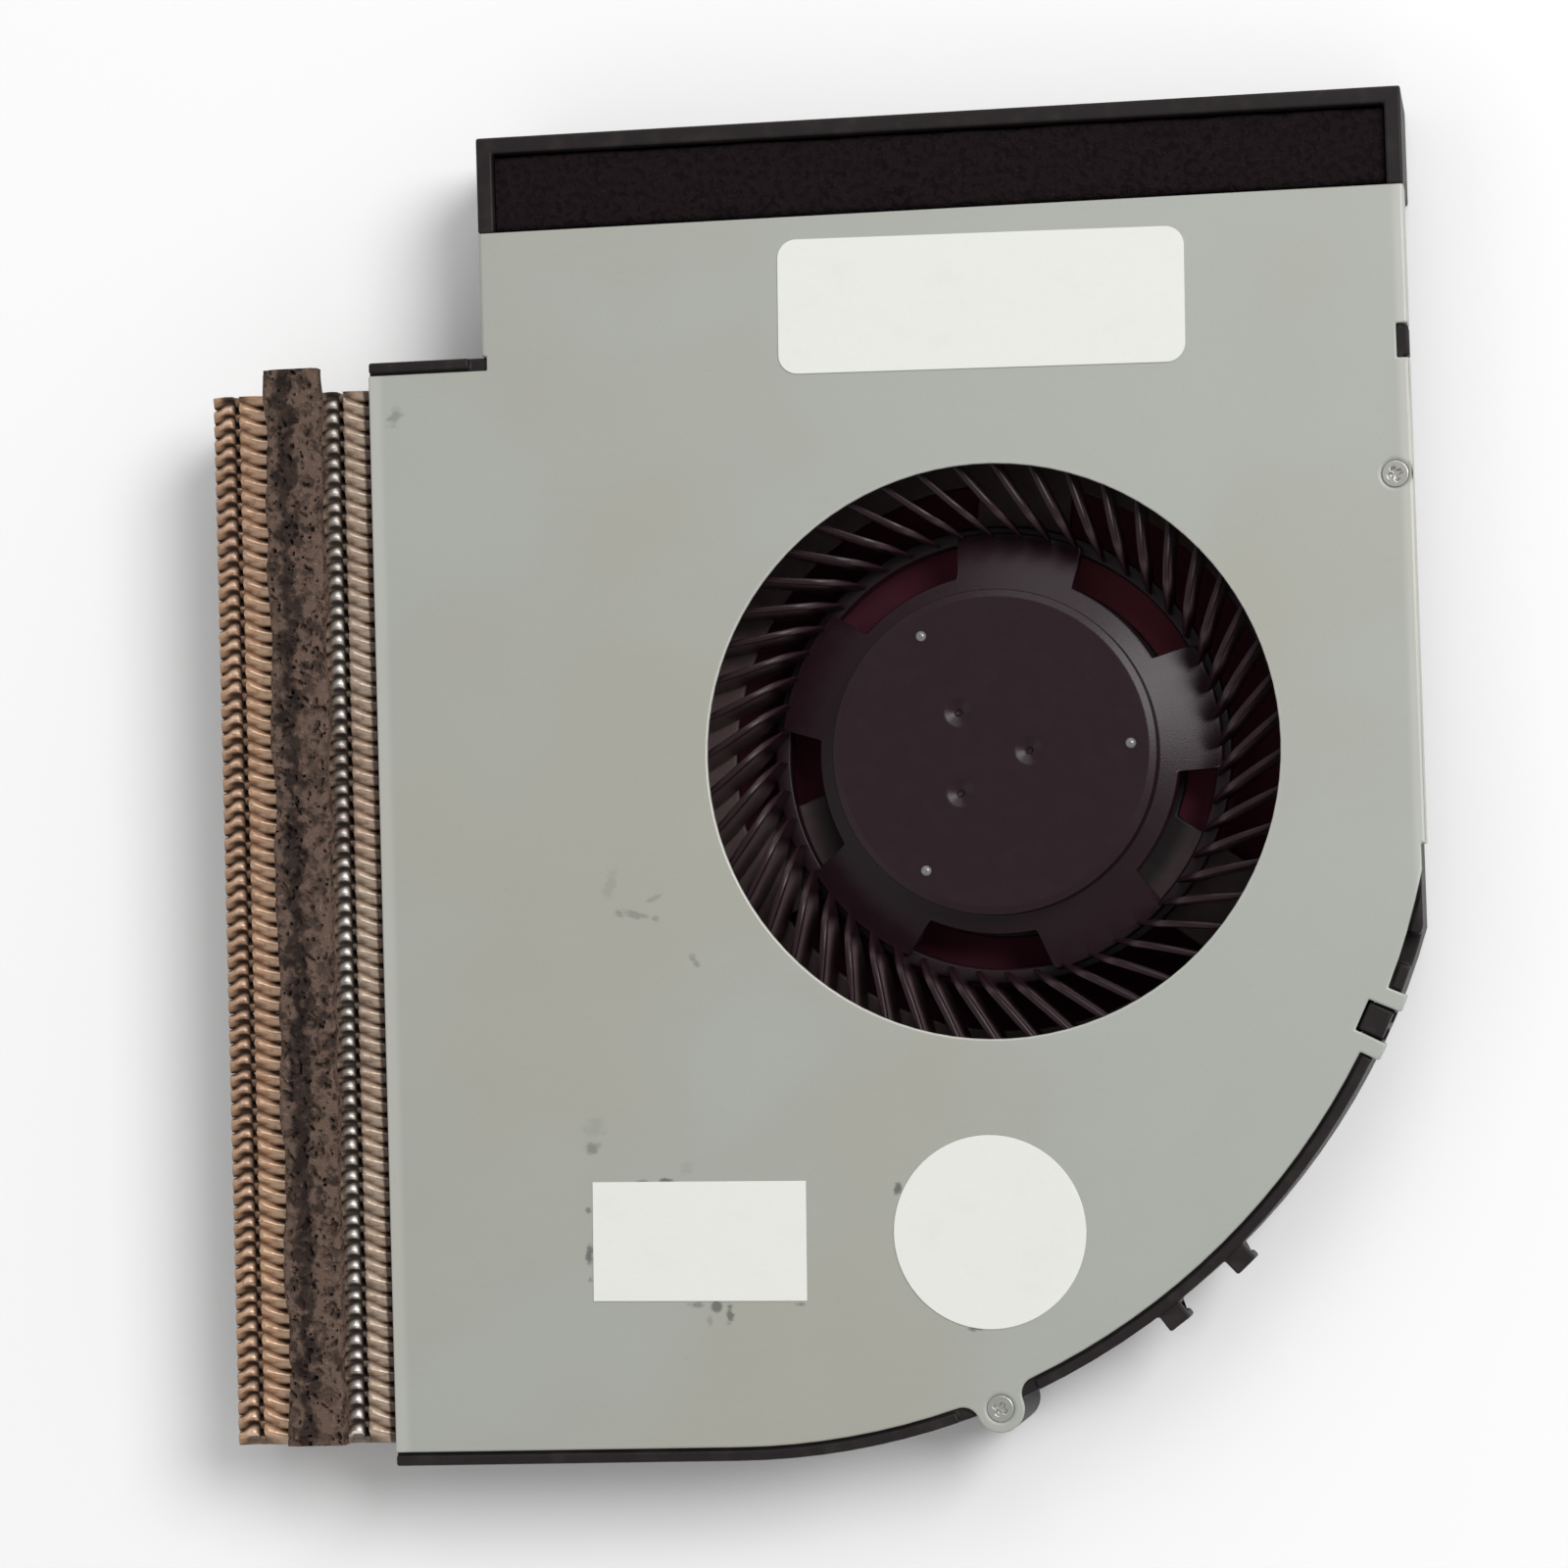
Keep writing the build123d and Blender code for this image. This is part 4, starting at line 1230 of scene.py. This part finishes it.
@dataclass
class Impeller:
    """Moulded impeller: hub with a bevelled rim, collar with sloping arms, ring and swept blades."""

    hub_radius: float = 11.9
    hub_top: float = 9.4
    hub_bottom: float = 2.6
    hub_steps: int = 288
    hub_chamfer: float = 0.15           # at the lower edge
    bore: float = 10.9
    roof: float = 8.35
    boss_radius: float = 2.2
    boss_bottom: float = 7.35
    shaft: float = 1.0
    shaft_top: float = 8.85
    rim_start: float = 11.35            # radius where the hub's bevel begins
    rim_slope: float = 21.0
    rim_round: float = 0.12
    rim_hold: float = 0.05              # distance of the bevel's own rings from its ends
    gate_radius: float = 1.05
    gate_depth: float = 0.27
    gate_pit: float = 0.3               # radius of the pit at the middle of a gate
    gates: tuple[Pair, ...] = ((2.6, 0.0), (-2.5, 2.94), (-2.5, -2.94))                 # x and y
    studs: tuple[Pair, ...] = ((10.0, 1.4), (10.0, 120.6), (10.0, -121.5))              # radius and angle
    stud_radius: float = 0.40
    stud_height: float = 0.30
    stud_foot: float = 0.46
    stud_sink: Pair = (0.02, 0.2)       # depth of the foot's upper and lower edge
    collar_radius: float = 13.3         # edge of the collar between the arms
    web_top: Slope = Slope(11.8, 6.6, 0.364)
    web_under: Slope = Slope(11.0, 5.0, 0.278)
    web_sink: float = 0.3               # how far outside the bore the collar starts, within the hub's wall
    arm_count: int = 5
    arm_start: float = 11.0
    arm_half: float = 17.5              # half the angle that an arm takes
    arm_fade: float = 1.5               # half the angle over which its side runs in
    arm_fine: Pair = (15.0, 20.5)       # angles between which the grid is finer
    arm_reach: float = 16.4
    arm_round: float = 0.2
    ring: Pair = (15.8, 17.0)
    ring_height: float = 1.6
    ring_round: float = 0.2
    ring_steps: int = 192
    blade_count: int = 48
    blade_root: float = 16.1
    blade_gap: float = 0.02             # room between the tips and the solid's reach
    blade_sweep: float = 20.1
    blade_sheet: float = 0.5
    blade_tip: float = 0.40
    blade_bow: float = 0.35             # how far a blade bends from its straight line
    blade_round: float = 0.14
    blade_end: float = 0.03             # part of the length over which each end is rounded
    blade_least: float = 0.03           # least half thickness
    blade_cut: float = 2.6              # height that is cut off a blade's inner top corner
    blade_cut_way: float = 0.26         # part of the blade's length that the cut takes

    def hub(self, shell: Shell) -> None:
        """Hub: its top sinks in cones at the gates; bevel, side, bore and boss follow as one turned profile.

        Args:
            shell: takes the surface.
        """
        side = self.hub_radius
        flat = np.linspace(0.0, self.rim_start, 88)
        grid = revolved(flat, np.full_like(flat, self.hub_top), self.hub_steps)
        for x, y in self.gates:
            away = np.hypot(grid[..., 0] - x, grid[..., 1] - y)
            cone = np.clip((self.gate_radius - away) / (self.gate_radius - self.gate_pit), 0.0, 1.0)
            pit = 1.0 - smooth(away, 0.6 * self.gate_pit, self.gate_pit)
            grid[..., 2] -= self.gate_depth * (cone + 0.8 * pit)
        r = self.rim_round
        slope = math.radians(self.rim_slope)
        corner = side - r * (1.0 - math.sin(slope))
        bevel = Slope(self.rim_start, self.hub_top, math.tan(slope))
        rings = np.array([self.rim_start + self.rim_hold, corner - self.rim_hold])
        rim = arc((side - r, bevel.at(corner) - r * math.cos(slope)), r, 90.0 - self.rim_slope, 0.0, 8)
        rest = np.array([
            (side, self.hub_bottom + self.hub_chamfer), (side - self.hub_chamfer, self.hub_bottom),
            (self.bore, self.hub_bottom), (self.bore, self.roof),
            (self.boss_radius, self.roof), (self.boss_radius, self.boss_bottom),
            (self.shaft, self.boss_bottom), (self.shaft, self.shaft_top), (0.0, self.shaft_top),
        ])
        profile = np.vstack([stack(rings, bevel.at(rings)), rim, rest])
        outside = revolved(profile[:, 0], profile[:, 1], self.hub_steps)
        shell.grid(np.concatenate([grid, outside]), wrap_columns=True)

    def web(self, shell: Shell) -> None:
        """Collar and arms as one surface round the hub, whose edge steps out to the ring at each arm.

        Each column goes out along the top, round the edge and back along the sloping underside into the hub's
        wall.

        Args:
            shell: takes the surface.
        """
        end = 180.0 / self.arm_count
        first, last = self.arm_fine
        spans = ((0.0, first, 10), (first, last, 16), (last, end, 10))
        runs = [np.linspace(start, stop, count, endpoint=False) for start, stop, count in spans]
        half = np.append(np.concatenate(runs), end)
        turn = np.concatenate([-half[:0:-1], half[:-1]])
        starts = self.arm_start + 360.0 / self.arm_count * np.arange(self.arm_count)
        angle = np.radians(starts[:, None] + turn).ravel()
        arm = 1.0 - smooth(np.abs(turn), self.arm_half - self.arm_fade, self.arm_half + self.arm_fade)
        out = np.tile(self.collar_radius + (self.arm_reach - self.collar_radius) * arm, self.arm_count)
        r = self.arm_round
        bend = np.radians(np.linspace(15.0, 90.0, 6))[:, None]
        start = self.bore + self.web_sink
        upper = start + (out - r - start) * np.linspace(0.0, 1.0, 22)[:, None]
        lower = out + (start - out) * np.linspace(0.0, 1.0, 6)[:, None]
        radius = np.concatenate([upper, out - r + r * np.sin(bend), lower])
        edge = self.web_top.at(out - r) - r + r * np.cos(bend)
        height = np.concatenate([self.web_top.at(upper), edge, self.web_under.at(lower)])
        points = stack(radius * np.cos(angle), radius * np.sin(angle), height)
        shell.grid(points, wrap_rows=True, wrap_columns=True)

    def blade_ring(self, shell: Shell, bottom: float) -> None:
        """Ring that carries the blades: a rectangle with rounded corners, turned about the axis.

        Args:
            shell: takes the surface.
            bottom: height of its underside.
        """
        r = self.ring_round
        inner, outer = self.ring[0] + r, self.ring[1] - r
        low, high = bottom + r, bottom + self.ring_height - r
        corners = enumerate(((outer, low), (outer, high), (inner, high), (inner, low)))
        profile = np.vstack([arc(centre, r, 90.0 * turn - 90.0, 90.0 * turn, 4) for turn, centre in corners])
        shell.grid(revolved(profile[:, 0], profile[:, 1], self.ring_steps), wrap_rows=True, wrap_columns=True)

    def blades(self, shell: Shell, bottom: float, top: float, tip: float) -> None:
        """Blades: a thin bowed sheet that leans back as it goes outwards, with rounded edges.

        The middle line runs from the ring to the tip circle and bows sideways as a half sine. The top falls
        towards the inner end as the square of the way into the cut.

        Args:
            shell: takes the surfaces.
            bottom: height of the lower edge.
            top: height of the upper edge.
            tip: radius of the outer end.
        """
        root = np.array([self.blade_root, 0.0])
        sweep = math.radians(self.blade_sweep)
        run = tip * np.array([math.cos(sweep), math.sin(sweep)]) - root
        ahead = run / np.hypot(*run)
        aside = np.array([-ahead[1], ahead[0]])
        way = np.linspace(0.0, 1.0, 13)
        middle = root + np.outer(way, run) + np.outer(self.blade_bow * np.sin(np.pi * way), aside)
        near_end = np.minimum(1.0, np.minimum(way, 1 - way) / self.blade_end)
        half = 0.5 * (self.blade_sheet + (self.blade_tip - self.blade_sheet) * way)
        half = half * np.sqrt(np.clip(1.0 - (1.0 - near_end) ** 2, 0.12, 1.0))
        rise = self.blade_round * np.array([0.0, 0.3, 1.0, 2.0])
        inset = self.blade_round * np.array([1.0, 0.3, 0.0, 0.0, 0.0, 0.0, 0.3, 1.0])
        level = np.concatenate([bottom + rise, top - rise[::-1]])
        thick = np.maximum(half[None, :] - inset[:, None], self.blade_least)[..., None] * aside
        loop = np.concatenate([middle + thick, (middle - thick)[:, ::-1]], axis=1)
        cut = self.blade_cut * np.clip(1.0 - way / self.blade_cut_way, 0.0, 1.0) ** 2
        upper = (level > 0.5 * (bottom + top))[:, None]
        body = stack(loop[..., 0], loop[..., 1], level[:, None] - upper * np.append(cut, cut[::-1]))
        copies = turned(body, 360.0 / self.blade_count * np.arange(self.blade_count))
        shell.grid(copies, wrap_columns=True)
        count = len(way)
        for row in (0, -1):
            edge = copies[:, row]
            shell.grid(np.stack([edge[:, :count], edge[:, :count - 1:-1]], axis=1))

    def stud_caps(self, shell: Shell) -> None:
        """Small round studs on the hub: a dome on a short foot, turned about its own axis.

        Args:
            shell: takes the surfaces.
        """
        dome = np.radians(np.linspace(90.0, 0.0, 9))
        foot = np.array(self.stud_sink)
        radius = np.concatenate([self.stud_radius * np.cos(dome), [self.stud_foot, self.stud_foot, 0.0]])
        height = np.concatenate([self.stud_height * np.sin(dome), -foot, -foot[1:]])
        stud = revolved(radius, self.hub_top + height, 24)
        for away, degrees in self.studs:
            turn = math.radians(degrees)
            spot = np.array([away * math.cos(turn), away * math.sin(turn), 0.0])
            shell.grid(stud + spot, wrap_columns=True)

    def build(self) -> tuple[bpy.types.Object, bpy.types.Object]:
        """Builds the moulding, and the studs as a piece of their own.

        Returns:
            The impeller and its studs.
        """
        low, high = node_box("impeller")
        shell = Shell()
        self.hub(shell)
        self.web(shell)
        self.blade_ring(shell, low[2])
        self.blades(shell, low[2], high[2], min(high[0], high[1]) - self.blade_gap)
        mesh = shell.mesh("impeller_moulding", 38.0)
        impeller = show(mesh, Body.ROTOR, Slot.IMPELLER, IMPELLER_FINISH, "impeller")
        caps = Shell()
        self.stud_caps(caps)
        return impeller, show(caps.mesh("hub_studs", 60.0), Body.ROTOR, Slot.IMPELLER, STUD_FINISH)


@dataclass
class CoverScrews:
    """Countersunk screws with a cross recess."""

    head: float = 0.95
    rim: float = 0.06                   # radius of the head's rounded edge
    seat: float = 10.6                  # height where the cone meets the shank
    shank: float = 0.5
    point: Pair = (0.25, 0.3)           # width and height of the chamfer at the lower end
    cross: float = 0.62
    slot: float = 0.15
    depth: float = 0.34
    steps: int = 120
    turns: Pair = (22.0, 61.0)

    def build(self) -> bpy.types.Object:
        """Head on a polar grid that sinks inside the cross, then the cone and the shank as one profile.

        Returns:
            Both screws as one piece.
        """
        low, high = node_box("cover_screws")
        bottom, top = low[2], high[2]
        flat = np.linspace(0.0, self.head - self.rim, 34)
        disc = revolved(flat, np.full_like(flat, top), self.steps)
        x, y = disc[..., 0], disc[..., 1]
        bar = smooth(np.minimum(np.abs(x), np.abs(y)), self.slot * 0.7, self.slot * 1.5)
        reach = smooth(np.hypot(x, y), self.cross * 0.55, self.cross)
        disc[..., 2] -= self.depth * (1.0 - bar) * (1.0 - reach)
        edge = arc((self.head - self.rim, top - self.rim), self.rim, 90.0, -45.0, 6)
        narrow, rise = self.point
        rest = np.array([
            (self.shank, self.seat), (self.shank, bottom + rise),
            (self.shank - narrow, bottom), (0.0, bottom),
        ])
        profile = np.vstack([edge[1:], rest])
        screw = np.concatenate([disc, revolved(profile[:, 0], profile[:, 1], self.steps)])
        shell = Shell()
        spots = ((high[0] - self.head, high[1] - self.head), (low[0] + self.head, low[1] + self.head))
        for (spot_x, spot_y), turn in zip(spots, self.turns):
            shell.grid(turned(screw, [turn])[0] + np.array([spot_x, spot_y, 0.0]), wrap_columns=True)
        return show(shell.mesh("cross_screws", 45.0), Body.CASE, Slot.SCREW, SCREW_FINISH, "cover_screws")


@dataclass
class Softened:
    """Copy of a CAD node with its edges rounded."""

    name: str
    node: str
    slot: Slot
    finish: Finish
    edge: float                 # width of the rounded edges
    segments: int = 3
    limit: float = 40.0         # edges that bend less than this stay as they are
    join: float = 0.002         # points nearer to each other than this become one
    flat: float = 0.5           # faces that bend less than this become one

    def build(self) -> bpy.types.Object:
        """Joins the node's loose triangles and flat faces, then rounds the edges with a Bevel modifier.

        Returns:
            The rounded copy.
        """
        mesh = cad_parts[self.node].data.copy()
        mesh.name = self.name
        work = bmesh.new()
        work.from_mesh(mesh)
        bmesh.ops.remove_doubles(work, verts=work.verts, dist=self.join * MM)
        flat = math.radians(self.flat)
        bmesh.ops.dissolve_limit(work, angle_limit=flat, verts=work.verts, edges=work.edges)
        work.to_mesh(mesh)
        work.free()
        mesh.shade_smooth()
        mesh.set_sharp_from_angle(angle=math.radians(self.limit))
        piece = show(mesh, Body.CASE, self.slot, self.finish, self.node)
        bevel = piece.modifiers.new("rounded_edges", "BEVEL")
        bevel.width = self.edge * MM
        bevel.segments = self.segments
        bevel.use_clamp_overlap = False     # the shortest edges would clamp all the others to almost nothing
        bevel.loop_slide = False            # sliding corners would reach past the CAD box
        bevel.limit_method = "ANGLE"
        bevel.angle_limit = math.radians(self.limit)
        even = piece.modifiers.new("even_normals", "WEIGHTED_NORMAL")
        even.keep_sharp = True
        even.weight = 100
        return piece


@dataclass(frozen=True)
class Lamp:
    """Round soft lamp that points at the origin."""

    place: Triple
    size: float
    power: float


@dataclass
class Studio:
    """Pale floor, soft lamps and the camera of the picture."""

    eye: Triple = (40.4, -17.86, 363.76)
    aim: Triple = (-16.139, -1.635, 5.5)
    roll: float = 1.691
    lens: float = 112.5
    floor_half: float = 6000.0
    floor_height: float = -0.02
    floor_tones: tuple[Colour, Colour] = (rgb(0.98, 0.98, 0.98), rgb(0.9, 0.9, 0.9))
    floor_clouds: Pattern = Pattern(40.0, 3.0, share=0.1)
    floor_rough: float = 0.9
    floor_gloss: float = 0.1
    # shaded and lit tones of the cloth: the lit one is painted light
    cloth_shade_and_light: tuple[Colour, Colour] = (rgb(0.07, 0.017, 0.028), rgb(0.24, 0.06, 0.08))
    cloth_edge: Pair = (22.0, 25.0)         # radii between which the cloth under the windows ends
    cloth_painted_light: Pair = (0.0, 24.0)         # sums of X and Y between which the cloth gets lighter: painted light
    sky: float = 0.42
    backdrop: float = 1.0
    horizon: Pair = (0.25, 0.75)            # sines of the angles between which the backdrop ends upwards
    lamps: tuple[Lamp, ...] = (
        Lamp((640.0, 370.0, 945.0), 620.0, 8.8),
        Lamp((-700.0, -300.0, 900.0), 800.0, 0.7),
        Lamp((100.0, 750.0, 900.0), 600.0, 2.0),
    )

    def camera(self) -> None:
        """Camera at the eye, looking at the aim, rolled from the upright of the picture."""
        data = bpy.data.cameras.new("picture")
        data.lens = self.lens
        data.sensor_width = 36.0
        data.clip_start = 0.01
        look = (Vector(self.aim) - Vector(self.eye)).normalized()
        flat_up = (Vector((0.0, 1.0, 0.0)) - look * look.y).normalized()
        turn = math.radians(self.roll)
        up = flat_up * math.cos(turn) + look.cross(flat_up) * math.sin(turn)
        facing = Matrix((look.cross(up), up, -look)).transposed().to_4x4()
        camera = bpy.data.objects.new("picture", data)
        camera.matrix_world = Matrix.Translation(Vector(self.eye) * MM) @ facing
        bpy.context.collection.objects.link(camera)
        bpy.context.scene.camera = camera

    def floor(self) -> None:
        """Wide plane as pale as the backdrop, with the dark red cloth that shows through the windows, lighter
        towards +X and +Y as painted light.
        """
        corner = np.array([-self.floor_half, self.floor_half])
        points = stack(corner[:, None], corner[None, :], np.array(self.floor_height))
        mesh = Shell().grid(points).mesh("floor")
        tree = Tree(bpy.data.materials.new("pale_floor"))
        under = 1.0 - tree.radius().between(*self.cloth_edge)
        paper = tree.mix(tree.pattern(self.floor_clouds) * self.floor_clouds.share, *self.floor_tones)
        # painted light: the cloth gets lighter towards +X and +Y
        painted_light = (tree.axis(Axis.X) + tree.axis(Axis.Y)).between(*self.cloth_painted_light)
        colour = tree.mix(under, paper, tree.mix(painted_light, *self.cloth_shade_and_light))
        plain = {"Roughness": self.floor_rough, "Specular IOR Level": self.floor_gloss}
        mesh.materials.append(tree.surface({"Base Color": colour, **plain}))
        floor = bpy.data.objects.new("floor", mesh)
        bpy.context.collection.objects.link(floor)

    def sky_light(self) -> None:
        """Even sky, and a backdrop that the camera sees as white, and reflections too in low directions."""
        world = bpy.data.worlds.new("studio")
        bpy.context.scene.world = world
        tree = Tree(world)
        direction = tree.node("ShaderNodeTexCoord", out="Generated")
        low = 1.0 - tree.node("ShaderNodeSeparateXYZ", None, {0: direction}, "Z").step(*self.horizon)
        rays = ("Is Camera Ray", "Is Glossy Ray", "Is Transmission Ray")
        seen, mirrored, through = (tree.node("ShaderNodeLightPath", out=ray) for ray in rays)
        white = seen.most(mirrored.most(through) * low)
        strength = white * (self.backdrop - self.sky) + self.sky
        sockets = {"Color": rgb(1.0, 1.0, 1.0), "Strength": strength}
        backdrop = tree.node("ShaderNodeBackground", None, sockets)
        tree.node("ShaderNodeOutputWorld", None, {"Surface": backdrop}, None)

    def lamp_light(self) -> None:
        """Large soft lamps."""
        for number, lamp in enumerate(self.lamps):
            data = bpy.data.lights.new(f"lamp_{number}", "AREA")
            data.shape = "DISK"
            data.size = lamp.size * MM
            data.energy = lamp.power
            holder = bpy.data.objects.new(data.name, data)
            holder.location = Vector(lamp.place) * MM
            holder.rotation_euler = (-Vector(lamp.place)).to_track_quat("-Z", "Y").to_euler()
            bpy.context.collection.objects.link(holder)

    def build(self) -> None:
        """Camera, floor and light."""
        bpy.context.scene.view_settings.view_transform = "Standard"
        self.camera()
        self.floor()
        self.sky_light()
        self.lamp_light()


def dress_inner_parts() -> None:
    """Gives the motor's CAD nodes, which stay as they are, their finishes."""
    for node, finish in CAD_FINISHES.items():
        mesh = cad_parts[node].data
        mesh.materials.clear()
        mesh.materials.append(finish.material())
        LOG.info("%s: %s", node, finish.name)


def main() -> None:
    """Builds the pieces in order, then the studio."""
    logging.basicConfig(level=logging.INFO, format="%(name)s %(message)s")
    Softened("case_moulding", "base_housing", Slot.HOUSING, HOUSING_FINISH, edge=0.18).build()
    Softened("cover_sheet", "cover_plate", Slot.COVER, COVER_FINISH, edge=0.13).build()
    Softened("rounded_label", "label_rounded", Slot.LABEL, PAPER_FINISH, edge=0.04, segments=2).build()
    Softened("small_label", "label_rectangle", Slot.LABEL, PAPER_FINISH, edge=0.04, segments=2).build()
    Softened("round_label", "label_round", Slot.LABEL, PAPER_FINISH, edge=0.04, segments=2).build()
    CoverScrews().build()
    FinStack().build()
    FoamBar(
        "porous_strip", "fin_foam_strip", Slot.STRIP, STRIP_FINISH, along=Axis.Y,
        corner=0.35, cell=0.5, pore=0.6, wander=0.30, spacing=0.12, seed=3,
    ).build()
    FoamBar(
        "seal_bar", "rear_foam_seal", Slot.SEAL, SEAL_FINISH, along=Axis.X,
        corner=0.5, cell=0.45, pore=0.12, wander=0.08, spacing=0.22, seed=5,
    ).build()
    Impeller().build()
    dress_inner_parts()
    Studio().build()


if __name__ == "__main__":
    main()
